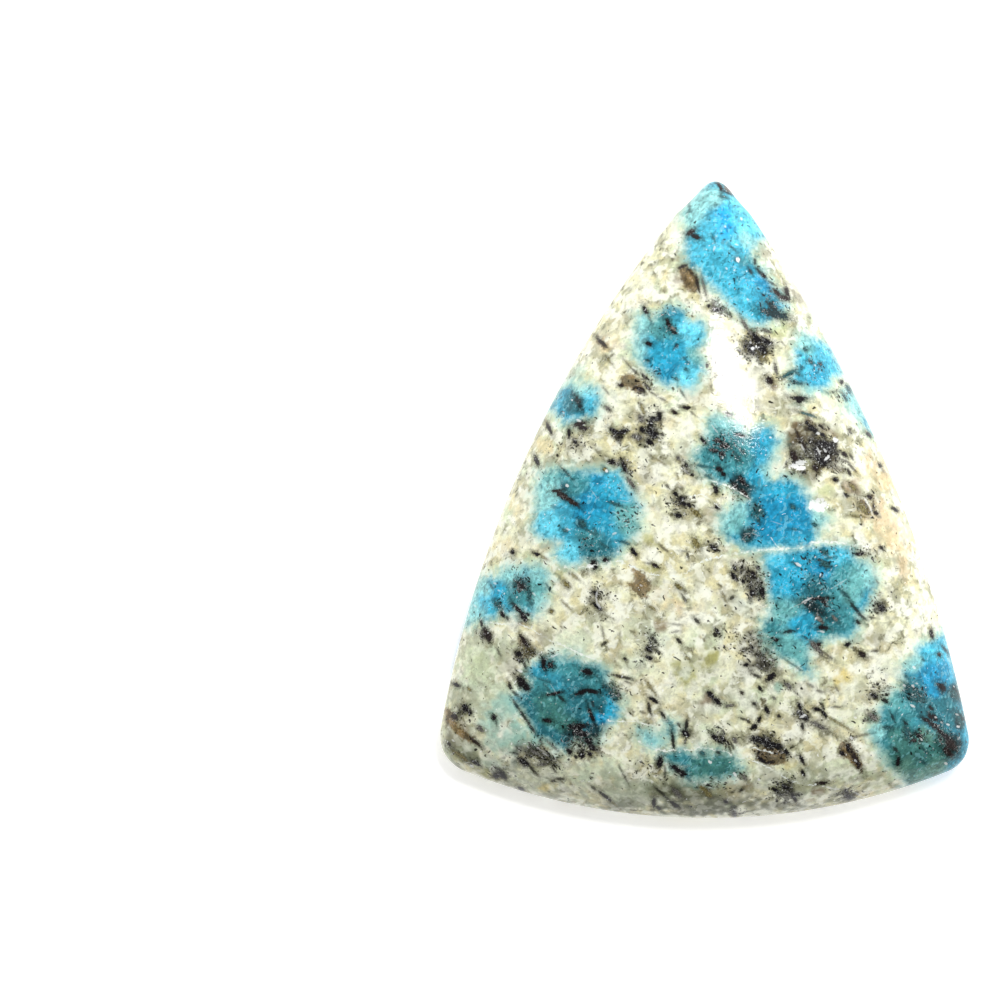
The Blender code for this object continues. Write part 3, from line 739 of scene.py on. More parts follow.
        (757, 508, 761, 513, 4.6), (757, 518, 759, 522, 3), (792, 506, 794, 508, 3.2),
        (792, 529, 799, 530, 2), (746, 533, 750, 531, 3), (746, 538, 748, 540, 4),
        (697, 465, 711, 468, 2.2), (705, 475, 711, 478, 2.2), (814, 524, 816, 526, 3),
        (827, 558, 832, 557, 2.4), (822, 562, 828, 566, 5), (823, 551, 827, 554, 3.6),
        (793, 563, 797, 565, 2.4), (843, 592, 848, 597, 3), (784, 659, 795, 666, 1.9),
        (795, 666, 801, 670, 1.9), (496, 603, 500, 607, 4.6), (529, 590, 530, 600, 3.6),
        (491, 585, 493, 589, 2), (546, 584, 551, 591, 1.8), (537, 678, 551, 683, 2),
        (545, 685, 552, 694, 2), (603, 684, 610, 690, 4), (612, 694, 616, 699, 3.6),
        (701, 752, 704, 754, 2.6), (686, 777, 691, 781, 1.9), (905, 675, 907, 677, 2.4),
        (922, 659, 924, 660, 2.4), (953, 691, 957, 698, 4.6), (958, 716, 961, 725, 4.6),
        (906, 728, 908, 737, 5), (885, 728, 892, 728, 3), (922, 748, 927, 753, 2.2),
        (920, 760, 926, 764, 2.4), (908, 688, 918, 697, 5), (912, 698, 922, 700, 4),
        (599, 709, 602, 712, 3),
    ],
    # Dark teal flakes
    (18, 46, 50): [
        (764, 311, 786, 317, 8), (769, 303, 776, 312, 7), (576, 397, 581, 408, 4),
        (805, 602, 822, 613, 7),
    ],
    # Faint grey flakes
    (104, 102, 96): [
        (725, 187, 731, 192, 4.4), (702, 278, 706, 295, 2.4), (742, 320, 748, 330, 3),
        (748, 330, 753, 336, 3), (671, 327, 675, 331, 3.6), (763, 330, 770, 332, 2.6),
        (775, 366, 777, 374, 3), (672, 624, 681, 625, 1.8), (673, 632, 679, 631, 1.8),
        (602, 629, 604, 637, 2), (604, 388, 608, 393, 1.8), (606, 407, 610, 410, 3.4),
        (628, 479, 634, 487, 3.4), (678, 457, 679, 459, 3.4), (633, 436, 640, 438, 5),
        (640, 417, 643, 421, 5), (811, 642, 822, 653, 5), (817, 616, 822, 622, 4),
        (833, 616, 837, 621, 3), (876, 580, 878, 583, 1.8), (808, 684, 813, 687, 2),
        (817, 691, 823, 692, 2), (836, 687, 838, 691, 2), (833, 707, 840, 707, 2.2),
        (812, 722, 825, 729, 4), (851, 739, 858, 736, 2.2), (858, 736, 868, 734, 2),
        (864, 720, 868, 721, 2.4), (870, 715, 876, 719, 5), (793, 690, 799, 696, 1.8),
        (786, 684, 791, 688, 4), (773, 697, 775, 699, 2.6), (726, 706, 733, 705, 3),
        (734, 739, 736, 742, 4), (674, 790, 680, 796, 5), (743, 776, 746, 779, 3),
        (532, 751, 537, 754, 3), (540, 765, 546, 764, 3), (548, 742, 557, 750, 2.2),
        (478, 727, 482, 730, 4), (727, 413, 730, 415, 3), (733, 396, 735, 398, 1.8),
        (880, 466, 884, 472, 2), (849, 430, 851, 433, 2.8),
    ],
    # Olive flakes
    (124, 116, 74): [
        (606, 357, 611, 363, 2.2), (641, 405, 644, 413, 2.8), (652, 456, 664, 464, 1.7),
        (571, 573, 578, 579, 2.2), (563, 602, 571, 610, 1.9), (540, 556, 546, 559, 2.2),
        (551, 611, 552, 612, 3), (604, 469, 606, 470, 3.4), (694, 540, 698, 546, 4.4),
        (851, 516, 866, 517, 2.4), (861, 519, 862, 524, 1.9), (722, 592, 726, 602, 2.2),
        (828, 717, 850, 730, 2.2), (649, 606, 655, 610, 2.6), (646, 681, 656, 695, 2.4),
        (611, 801, 618, 807, 1.9), (570, 783, 572, 785, 2), (701, 787, 706, 791, 4),
        (706, 793, 711, 796, 4), (677, 585, 681, 588, 4), (686, 657, 690, 660, 2.4),
        (565, 583, 568, 586, 3.4), (454, 751, 467, 761, 3.4), (851, 485, 855, 490, 3.4),
        (468, 688, 470, 690, 2.6), (841, 484, 847, 494, 2.2), (692, 510, 699, 516, 5),
        (860, 504, 866, 512, 5),
    ],
}

# Painted highlights: glints, scratches and small pits that catch the light, drawn as bright spots in the
# colour
glints = [
    (737, 258, 739, 261, 3.4), (715, 246, 714, 250, 2), (735, 244, 738, 245, 2),
    (741, 218, 742, 220, 2.4), (725, 226, 726, 227, 2), (726, 268, 727, 269, 2),
    (721, 271, 719, 278, 1.2), (747, 299, 749, 300, 2), (781, 278, 782, 283, 1.8),
    (577, 420, 580, 421, 2.6), (563, 412, 564, 413, 1.8), (752, 348, 753, 349, 3.6),
    (750, 342, 751, 343, 2), (817, 447, 820, 454, 2.2), (824, 449, 826, 452, 2.2),
    (825, 460, 829, 456, 2.8), (834, 439, 837, 441, 4.4), (817, 433, 819, 434, 2.6),
    (801, 445, 804, 450, 1.9), (792, 466, 798, 466, 5.4), (797, 464, 804, 462, 5.4),
    (798, 468, 804, 468, 4.4), (789, 467, 790, 468, 2.6), (812, 502, 814, 506, 6),
    (817, 500, 819, 501, 5), (822, 505, 826, 504, 6), (816, 508, 822, 510, 6), (821, 499, 823, 500, 4),
    (810, 507, 811, 508, 4), (816, 504, 819, 505, 6), (817, 489, 818, 496, 1.3),
    (839, 482, 842, 492, 1.4), (842, 492, 846, 499, 1.4), (864, 498, 869, 505, 1.9),
    (869, 505, 873, 515, 1.9), (567, 529, 570, 530, 1.8), (566, 485, 568, 486, 2.6),
    (618, 500, 631, 502, 1.1), (620, 508, 629, 512, 1.2), (612, 511, 619, 515, 1.1),
    (621, 522, 637, 518, 1.1), (624, 525, 630, 523, 1.3), (613, 534, 616, 533, 1.9),
    (609, 525, 614, 524, 1.2), (586, 496, 592, 497, 1.1), (592, 491, 597, 498, 1.1),
    (595, 500, 599, 497, 1.1), (590, 516, 588, 519, 1.4), (606, 471, 607, 471, 3),
    (625, 480, 626, 483, 1.8), (587, 565, 592, 566, 2.6), (711, 424, 718, 433, 1.5),
    (714, 423, 717, 427, 1.1), (700, 468, 706, 473, 1.4), (683, 467, 688, 474, 1.2),
    (744, 534, 751, 533, 1.3), (751, 533, 760, 536, 1.2), (771, 521, 783, 525, 1.1),
    (803, 602, 811, 598, 2.2), (788, 609, 803, 603, 1), (834, 587, 847, 579, 1.3),
    (819, 631, 824, 632, 2), (816, 618, 819, 618, 1.4), (796, 563, 801, 566, 2.6),
    (769, 659, 772, 660, 1.8), (773, 650, 774, 651, 1.8), (801, 717, 805, 715, 2.6),
    (597, 592, 596, 598, 1.9), (596, 598, 597, 603, 1.9), (597, 603, 600, 607, 2),
    (520, 716, 523, 719, 2), (551, 685, 557, 694, 1.1), (552, 657, 558, 654, 1.9),
    (584, 660, 588, 664, 1.4), (519, 670, 522, 672, 2.6), (587, 736, 590, 733, 1.2),
    (543, 753, 548, 756, 1.6), (537, 748, 545, 752, 1.3), (527, 746, 529, 748, 1.6),
    (532, 757, 536, 760, 1.3), (562, 740, 563, 742, 1.4), (471, 765, 473, 767, 2.4),
    (493, 749, 500, 757, 1.2), (452, 740, 454, 741, 2), (640, 585, 642, 586, 1.8),
    (709, 761, 711, 763, 2.8), (734, 773, 736, 776, 2.6), (758, 779, 760, 780, 2.6),
    (704, 783, 706, 784, 1.9), (651, 781, 653, 782, 1.9), (685, 733, 686, 734, 1.6),
    (827, 787, 833, 789, 2.2), (833, 789, 841, 789, 2), (820, 787, 828, 786, 1.3),
    (854, 792, 863, 797, 1.7), (851, 737, 852, 739, 2.4), (871, 689, 876, 688, 1.6),
    (854, 717, 856, 718, 2.4), (912, 685, 914, 687, 2.2), (916, 683, 918, 684, 1.8),
    (903, 685, 905, 686, 2), (911, 705, 915, 707, 2.4), (935, 717, 937, 718, 2),
    (947, 724, 949, 725, 2.2), (957, 726, 959, 727, 2.2), (956, 714, 958, 715, 1.8),
    (941, 722, 942, 723, 1.6), (921, 739, 922, 740, 2.2), (945, 763, 947, 764, 2.4),
    (913, 667, 915, 668, 2.4), (855, 760, 857, 762, 1.9), (733, 809, 737, 811, 1.6),
    (562, 591, 564, 595, 1.2), (747, 535, 745, 536, 1.2), (498, 590, 500, 591, 1.8),
    (494, 583, 496, 584, 1.8), (533, 593, 535, 595, 1.8), (468, 613, 469, 616, 2),
    (474, 605, 476, 607, 1.8), (609, 487, 610, 488, 1.6),
]

# Healed cracks, from bend to bend, each with its width
cracks = [
    [
        (485, 622), (502, 624), (518, 624), (532, 629), (543, 636), (551, 641), (566, 647), (585, 656),
        (600, 661), 2.2,
    ],
    [
        (566, 567), (590, 567), (600, 564), (618, 561), (630, 566), (643, 571), (652, 574), (668, 576),
        (681, 576), (690, 570), (701, 562), (712, 558), (734, 554), (747, 552), (768, 549), (779, 549),
        (800, 548), (811, 544), (818, 542), (836, 542), (852, 545), (866, 546), 2.6,
    ],
    [
        (712, 481), (729, 486), (740, 493), (750, 499), 1.9,
    ],
    [
        (690, 497), (701, 494), (712, 500), (720, 508), 1.4,
    ],
    [
        (609, 721), (627, 721), (635, 721), (643, 724), (652, 726), 1.9,
    ],
    [
        (638, 742), (650, 747), (657, 750), (666, 751), (673, 750), (679, 748), (686, 750), (695, 749),
        (700, 747), (710, 749), (723, 751), (731, 754), (739, 758), (750, 760), (762, 764), (772, 770),
        (781, 774), (788, 780), (795, 782), (803, 784), (815, 785), 2.3,
    ],
    [
        (738, 748), (751, 747), (762, 750), (772, 753), 1.6,
    ],
    [
        (771, 538), (778, 547), 1.4,
    ],
]

# Where fine mica is sown densely: x, y, reach along, reach across, slant in degrees, strength
swarms = [
    (722, 309, 18, 7, -38, 1), (756, 344, 16, 13, -40, 1), (746, 348, 9, 12, 0, 0.8),
    (655, 373, 6, 6, 0, 0.9), (645, 384, 9, 11, -50, 0.7), (650, 430, 14, 16, 0, 0.8),
    (619, 435, 10, 8, 0, 0.9), (628, 464, 12, 10, -40, 0.8), (817, 447, 16, 20, -30, 1),
    (838, 465, 14, 9, -50, 0.7), (798, 468, 12, 9, 0, 0.8), (684, 470, 9, 7, -50, 0.8),
    (680, 503, 11, 13, -40, 0.9), (722, 447, 16, 13, -10, 0.8), (740, 487, 12, 10, -30, 0.8),
    (755, 512, 9, 12, 0, 0.5), (752, 536, 9, 6, 0, 0.7), (712, 545, 8, 8, 0, 0.6),
    (756, 583, 12, 16, 0, 1), (741, 570, 9, 10, -50, 0.8), (597, 597, 10, 14, 0, 0.7),
    (521, 583, 11, 12, 0, 0.7), (500, 605, 7, 7, 0, 0.6), (486, 634, 9, 8, -50, 0.6),
    (525, 655, 14, 14, -40, 0.7), (547, 662, 9, 8, 0, 0.7), (610, 690, 12, 12, -30, 0.9),
    (580, 740, 14, 18, -30, 1), (540, 754, 22, 12, -15, 1), (500, 770, 9, 7, 0, 0.6),
    (465, 712, 9, 9, 0, 0.7), (475, 763, 7, 5, 0, 0.6), (648, 649, 12, 13, -30, 1),
    (761, 652, 16, 18, 0, 0.9), (880, 608, 9, 11, 0, 0.8), (865, 552, 16, 8, -10, 0.7),
    (878, 690, 12, 12, -20, 0.8), (873, 718, 8, 6, 0, 0.6), (915, 692, 13, 11, 0, 0.9),
    (946, 738, 14, 14, -50, 0.9), (768, 745, 22, 12, -20, 0.9), (785, 790, 14, 14, -40, 0.9),
    (850, 794, 14, 7, 0, 0.9), (720, 736, 14, 9, -20, 0.8), (735, 812, 8, 6, 0, 0.8),
    (650, 770, 16, 12, 0, 0.45), (690, 313, 8, 7, 0, 0.5), (668, 312, 8, 8, 0, 0.5),
    (712, 365, 8, 16, 0, 0.4), (725, 412, 14, 6, -20, 0.5), (590, 545, 14, 10, -30, 0.6),
    (626, 518, 12, 14, 0, 0.5), (818, 560, 20, 12, 0, 0.5), (815, 585, 20, 12, 0, 0.5),
    (818, 605, 12, 10, 0, 0.6), (740, 280, 14, 12, 0, 0.3), (672, 332, 9, 10, 0, 0.6),
    (560, 412, 7, 7, 0, 0.6), (577, 444, 16, 10, 0, 0.5), (790, 380, 8, 7, 0, 0.6),
    (815, 370, 10, 12, 0, 0.5), (840, 394, 8, 5, -20, 0.6), (733, 640, 14, 14, 0, 0.35),
    (718, 632, 9, 8, 0, 0.5), (866, 504, 9, 12, -50, 0.6), (800, 715, 8, 10, 0, 0.5),
    (820, 712, 10, 8, -30, 0.4), (920, 738, 9, 7, 0, 0.6), (740, 775, 10, 7, 0, 0.7),
    (712, 784, 12, 7, 0, 0.6), (787, 688, 7, 6, 0, 0.6), (776, 297, 12, 10, -30, 0.6),
    (850, 750, 10, 12, -50, 0.5), (460, 722, 10, 12, -40, 0.4), (598, 740, 10, 14, 0, 0.6),
    (645, 728, 12, 8, 0, 0.4),
]

# Small pits where grains were plucked out in polishing: x, y, reach in pixels, depth in millimetres
pits = [
    (819, 504, 9, 0.09), (811, 502, 5, 0.05), (798, 466, 5.5, 0.06), (804, 464, 4, 0.05),
    (738, 259, 3.4, 0.05), (836, 440, 3.4, 0.04), (827, 457, 3.2, 0.04), (818, 451, 3, 0.04),
    (791, 467, 2.6, 0.03), (578, 421, 3, 0.04), (753, 348, 3, 0.03), (640, 586, 2.6, 0.03),
    (830, 789, 3.4, 0.03), (521, 671, 3, 0.03), (735, 774, 3, 0.03),
]

# The polish rolls slightly: size, height and noise seed of each roll
swells = ((2.8, 0.007, 21), (1.1, 0.002, 22))


def spreadOverOutline(shares, inset):    # from a lattice point's three shares to its place in the outline
    least = shares.min(axis=1)
    opposite = shares.argmin(axis=1)
    outward = 1 - 3 * least
    outward = outward * (1 + stone["rimCrowding"] * (1 - outward ** stone["rimCrowdingPower"]))
    rim = np.zeros((len(shares), 2))
    for side in range(3):
        here = opposite == (side + 2) % 3
        leading = shares[here, (side + 1) % 3] - least[here]
        trailing = shares[here, side] - least[here]
        rim[here] = rimPoints(side, leading / np.maximum(leading + trailing, 1e-9))
    reach = crown - rim
    rim += reach / np.linalg.norm(reach, axis=1)[:, None] * inset
    return crown + outward[:, None] * (rim - crown)


def triangleSheet(inset, heightAt):    # one triangle, cut into a lattice and spread over the outline
    mesh = bmesh.new()
    face = mesh.faces.new([mesh.verts.new(share) for share in ((1, 0, 0), (0, 1, 0), (0, 0, 1))])
    bmesh.ops.subdivide_edges(mesh, edges=list(face.edges), cuts=stone["latticeCuts"], use_grid_fill=True)
    places = spreadOverOutline(np.array([vertex.co[:] for vertex in mesh.verts]), inset)
    for vertex, place, height in zip(mesh.verts, places, heightAt(places)):
        vertex.co = (*place, height)
    return mesh


def polishRelief(points):    # pits and the faint roll of the polish, fading out towards the rim
    relief = np.zeros(len(points))
    flat = np.column_stack([points, np.zeros(len(points))])
    for size, height, seed in swells:
        relief += height * noiseAt(flat, size, seed)
    for place, (_, _, reach, depth) in zip(onStone([pit[:2] for pit in pits])[:, :2], pits):
        distance = np.linalg.norm(points - place, axis=1) / (reach * pixel)
        relief -= depth * smooth(1.15, 0.35, distance)
    return relief * smooth(0.0, 0.5, rimDepth(points))


def insetFromRim(point, amount):
    reach = Vector(crown) - point
    return point + reach.normalized() * amount


def buildStone():
    mesh = triangleSheet(0.0, domeHeight)
    print("dome laid out:", len(mesh.faces), "faces")

    edges = [edge for edge in mesh.edges if edge.is_boundary]
    rimPlace = {vertex: vertex.co.xy.copy() for edge in edges for vertex in edge.verts}
    rows = [(0.0, height) for height in stone["wallRows"]] + list(stone["bevelRows"])
    for inset, height in rows:
        made = bmesh.ops.extrude_edge_only(mesh, edges=edges)["geom"]
        fresh = [item for item in made if isinstance(item, bmesh.types.BMVert)]
        placeBelow = {}
        for vertex in fresh:
            above = next(edge.other_vert(vertex) for edge in vertex.link_edges
                         if edge.other_vert(vertex) in rimPlace)
            placeBelow[vertex] = rimPlace[above]
        for vertex, place in placeBelow.items():
            vertex.co = (*insetFromRim(place, inset), height)
        rimPlace = placeBelow
        edges = [item for item in made if isinstance(item, bmesh.types.BMEdge) and item.is_boundary]
    print("rim and bevel:", len(mesh.faces), "faces")

    backSheet = triangleSheet(stone["backBevel"], lambda places: np.zeros(len(places)))
    backShape = bpy.data.meshes.new("back")
    backSheet.to_mesh(backShape)
    backSheet.free()
    mesh.from_mesh(backShape)
    bpy.data.meshes.remove(backShape)
    bmesh.ops.remove_doubles(mesh, verts=mesh.verts, dist=0.0005)

    domeEdges = [edge for edge in mesh.edges
                 if min(vertex.co.z for vertex in edge.verts) > stone["rimTop"] - stone["rimMargin"]]
    bmesh.ops.subdivide_edges(mesh, edges=domeEdges, cuts=1, use_grid_fill=True)
    bmesh.ops.triangulate(mesh, faces=mesh.faces)
    bmesh.ops.recalc_face_normals(mesh, faces=mesh.faces)
    shape = bpy.data.meshes.new("azuriteCabochon")
    mesh.to_mesh(shape)
    mesh.free()

    points = np.zeros(len(shape.vertices) * 3, np.float32)
    shape.vertices.foreach_get("co", points)
    points = points.reshape(-1, 3)
    onDome = points[:, 2] > stone["rimTop"] - stone["rimMargin"]
    points[onDome, 2] = domeHeight(points[onDome, :2]) + polishRelief(points[onDome, :2])
    alongTip = (points[:, 1] - stone["tipFrom"]) / (stone["tipTo"] - stone["tipFrom"])
    pinch = stone["tipPinch"] * np.clip(alongTip, 0, 1)
    points[:, 0] += pinch * (stone["corners"][0][0] - points[:, 0])
    print("tip narrowed")
    shape.vertices.foreach_set("co", (points * mm).ravel())
    shape.shade_smooth()
    piece = bpy.data.objects.new("azuriteCabochon", shape)
    bpy.context.scene.collection.objects.link(piece)
    print("stone:", len(shape.polygons), "triangles")
    return piece


piece = buildStone()


# Painting: what the material reads from the mesh, worked out in millimetres
painting = {
    "plainAzurite": (55, 165, 195),    # where no spot of colour is near
    "cream": (243, 244, 208),
    "ivory": (230, 222, 172),
    "mint": (218, 232, 196),
    "milk": (252, 253, 236),
    "groundDrifts": (("mint", 1.9, 11), ("ivory", 1.5, 12), ("milk", 1.0, 13), ("ivory", 0.5, 14),
                     ("milk", 0.4, 15)),    # size and noise seed of each drift over the cream
    "fade": 0.35,         # how fast a blue body shrinks below the rim, per millimetre
    "edge": 0.12,         # how far noise pushes the soft spots about
    "clearOfMarks": 99,   # moves the upright rim out of reach of every drawn mark
    "reachAround": 0.45,  # a mark is looked for within this distance
    "backTop": 0.02,      # everything below this height is the flat back
    "backTurn": 128,      # the back shows the same rock turned about the crown by this angle, in degrees
}


def backLayout(spots):
    turn = math.radians(painting["backTurn"])
    x = spots[..., 0] - crown[0]
    y = spots[..., 1] - crown[1]
    turned = (x * math.cos(turn) - y * math.sin(turn), x * math.sin(turn) + y * math.cos(turn))
    return np.stack(turned, axis=-1) + crown


def outlineDistance(points, outline):    # distance to a closed outline, negative inside
    start = np.asarray(outline, float)
    end = np.roll(start, -1, axis=0)
    nearest = np.full(len(points), 1e9)
    inside = np.zeros(len(points), bool)
    for (x0, y0), (x1, y1) in zip(start, end):
        along = np.array((x1 - x0, y1 - y0))
        reach = points - (x0, y0)
        share = np.clip(reach @ along / max(along @ along, 1e-9), 0, 1)
        nearest = np.minimum(nearest, np.linalg.norm(reach - share[:, None] * along, axis=1))
        crosses = (y0 > points[:, 1]) != (y1 > points[:, 1])
        if y1 != y0:
            inside ^= crosses & (points[:, 0] < (x1 - x0) * (points[:, 1] - y0) / (y1 - y0) + x0)
    return np.where(inside, -nearest, nearest)


def bodiesDistance(points, outlines):
    return np.min([outlineDistance(points, onStone(outline)[:, :2]) for outline in outlines], axis=0)


def groundColours(points):    # cream, ivory, mint and milk-white drift into each other
    colour = np.tile(np.array(paint(*painting["cream"])[:3]), (len(points), 1))
    for name, size, seed in painting["groundDrifts"]:
        amount = smooth(0.0, 0.45, noiseAt(points, size, seed))[:, None] * 0.8
        colour += amount * (np.array(paint(*painting[name])[:3]) - colour)
    return colour


def azuriteColours(points):    # every spot pulls the colour towards its own, the nearer the stronger
    total = np.full(len(points), 0.02)
    colour = np.tile(np.array(paint(*painting["plainAzurite"])[:3]) * 0.02, (len(points), 1))
    for shade, spots in azuriteTones.items():
        places = onStone([spot[:2] for spot in spots])[:, :2]
        for place, spot in zip(places, spots):
            distance = np.linalg.norm(points - place, axis=1) / (spot[2] * pixel)
            pull = np.exp(-1.3 * distance ** 2) + 0.004 / (1 + distance ** 2)
            total += pull
            colour += pull[:, None] * np.array(paint(*shade)[:3])
    return colour / total[:, None]


def ovalDistance(points, place, along, across, slant):    # 1 on a slanted oval, its reaches given in pixels
    turn = math.radians(-slant)
    reach = points - place
    x = (reach[:, 0] * math.cos(turn) - reach[:, 1] * math.sin(turn)) / (along * pixel)
    y = (reach[:, 0] * math.sin(turn) + reach[:, 1] * math.cos(turn)) / (across * pixel)
    return np.hypot(x, y)


def stainAndShadeColours(points, ragged, ground):    # the colour, stains and painted shade included, and in the last column how little of either there is
    colour = ground.copy()
    bare = np.ones(len(points))
    for shade, spots in stainsAndShade.items():
        places = onStone([spot[:2] for spot in spots])[:, :2]
        for place, (_, _, along, across, slant, strength) in zip(places, spots):
            distance = ovalDistance(points, place, along, across, slant)
            amount = strength * smooth(1.35, 0.45, distance + ragged)
            colour += amount[:, None] * (np.array(paint(*shade)[:3]) - colour)
            bare *= 1 - amount
    return np.column_stack([colour, bare])


def swarmDensity(points, ragged):
    density = np.zeros(len(points))
    places = onStone([spot[:2] for spot in swarms])[:, :2]
    for place, (_, _, along, across, slant, strength) in zip(places, swarms):
        distance = ovalDistance(points, place, along, across, slant)
        density = np.maximum(density, strength * smooth(1.5, 0.3, distance + ragged))
    return density


def grainLayers(points):    # distance to the nearest brown grain, and that grain's colour
    nearest = np.full(len(points), 9.0)
    colour = np.zeros((len(points), 3))
    for shade, outlines in grains.items():
        distance = bodiesDistance(points, outlines)
        closer = distance < nearest
        nearest = np.where(closer, distance, nearest)
        colour[closer] = paint(*shade)[:3]
    return nearest, colour


def markLayer(middles, corners, marks):    # gives each triangle the mark that lies closest to it
    starts = onStone([mark[:2] for mark in marks])[:, :2]
    ends = onStone([mark[2:4] for mark in marks])[:, :2]
    widths = np.array([mark[4] for mark in marks])
    centres = (starts + ends) / 2
    halfWidths = widths * pixel / 2
    along = ends - starts
    lengths = np.linalg.norm(along, axis=1)
    along /= np.maximum(lengths, 1e-6)[:, None]
    across = np.stack([-along[:, 1], along[:, 0]], axis=1)
    halfLengths = lengths / 2 + halfWidths * 0.6
    nearest = np.full(len(middles), 1.0)
    chosen = np.full(len(middles), -1)
    for index, centre in enumerate(centres):
        reach = middles - centre
        limit = halfLengths[index] + painting["reachAround"]
        close = np.flatnonzero((np.abs(reach[:, 0]) < limit) & (np.abs(reach[:, 1]) < limit))
        u = reach[close] @ along[index] / halfLengths[index]
        v = reach[close] @ across[index] / halfWidths[index]
        distance = (np.hypot(u, v) - 1) * halfWidths[index]
        better = distance < nearest[close]
        nearest[close[better]] = distance[better]
        chosen[close[better]] = index
    layer = np.full((len(middles), 3, 3), 9.0)    # across and along in half sizes, and how strong it is
    found = chosen >= 0
    picked = chosen[found]
    reach = corners[found] - centres[picked][:, None, :]
    layer[found, :, 0] = np.einsum("tcx,tx->tc", reach, along[picked]) / halfLengths[picked][:, None]
    layer[found, :, 1] = np.einsum("tcx,tx->tc", reach, across[picked]) / halfWidths[picked][:, None]
    strengths = np.clip((widths - 0.6) / 2.6, 0.2, 1.0)    # the thinnest marks are the faintest
    layer[found, :, 2] = strengths[picked][:, None]
    return layer.reshape(-1, 3), chosen


def crackLayer(middles, corners):    # across the crack in half widths, along it, and whether it is there
    nearest = np.full(len(middles), painting["reachAround"])
    layer = np.full((len(middles), 3, 3), 0.0)
    layer[:, :, 0] = 9.0
    for crack in cracks:
        bends = onStone(crack[:-1])[:, :2]
        halfWidth = crack[-1] * pixel / 2
        for start, end in zip(bends, bends[1:]):
            along = (end - start) / np.linalg.norm(end - start)
            across = np.array((-along[1], along[0]))
            reach = middles - start
            travelled = reach @ along
            beyond = travelled - np.clip(travelled, 0, np.linalg.norm(end - start))
            distance = np.hypot(beyond, reach @ across)
            closer = distance < nearest
            nearest = np.where(closer, distance, nearest)
            reach = corners[closer] - start
            layer[closer, :, 0] = reach @ across / halfWidth
            layer[closer, :, 1] = reach @ along
            layer[closer, :, 2] = np.where(np.abs(beyond[closer]) < halfWidth, 1.0, 0.0)[:, None]
    return layer.reshape(-1, 3)


def writeAttribute(shape, name, kind, domain, values):
    attribute = shape.attributes.new(name, kind, domain)
    field = {"FLOAT": "value", "FLOAT_VECTOR": "vector", "FLOAT_COLOR": "color"}[kind]
    attribute.data.foreach_set(field, np.ascontiguousarray(values, np.float32).ravel())


def opaque(colours):
    return np.column_stack([colours, np.ones(len(colours))])


def drawMarks(shape, points):    # flakes, painted glints and cracks, laid on from above and on the back
    triangles = np.zeros(len(shape.loops), np.int32)
    shape.loops.foreach_get("vertex_index", triangles)
    corners = points[triangles.reshape(-1, 3)]
    flatBack = corners[:, :, 2].max(axis=1) < painting["backTop"]
    onTop = corners[:, :, 2].min(axis=1) > stone["rimTop"] - stone["rimMargin"]
    flat = corners[:, :, :2].copy()
    flat[flatBack] = backLayout(flat[flatBack])
    flat[~(flatBack | onTop)] += painting["clearOfMarks"]
    middles = flat.mean(axis=1)
    flakes = [flake for group in mica.values() for flake in group]
    tones = [paint(*shade) for shade, group in mica.items() for _ in group]
    tones.append((1, 1, 1, 1))    # the last one is for triangles without a flake
    layer, chosen = markLayer(middles, flat, flakes)
    writeAttribute(shape, "flake", "FLOAT_VECTOR", "CORNER", layer)
    tones = np.repeat(np.array(tones)[chosen], 3, axis=0)
    writeAttribute(shape, "flakeTone", "FLOAT_COLOR", "CORNER", tones)
    layer, _ = markLayer(middles, flat, glints)
    writeAttribute(shape, "glint", "FLOAT_VECTOR", "CORNER", layer)
    writeAttribute(shape, "crack", "FLOAT_VECTOR", "CORNER", crackLayer(middles, flat))
    print("marks drawn:", len(flakes), "flakes,", len(glints), "glints,", len(cracks), "cracks")


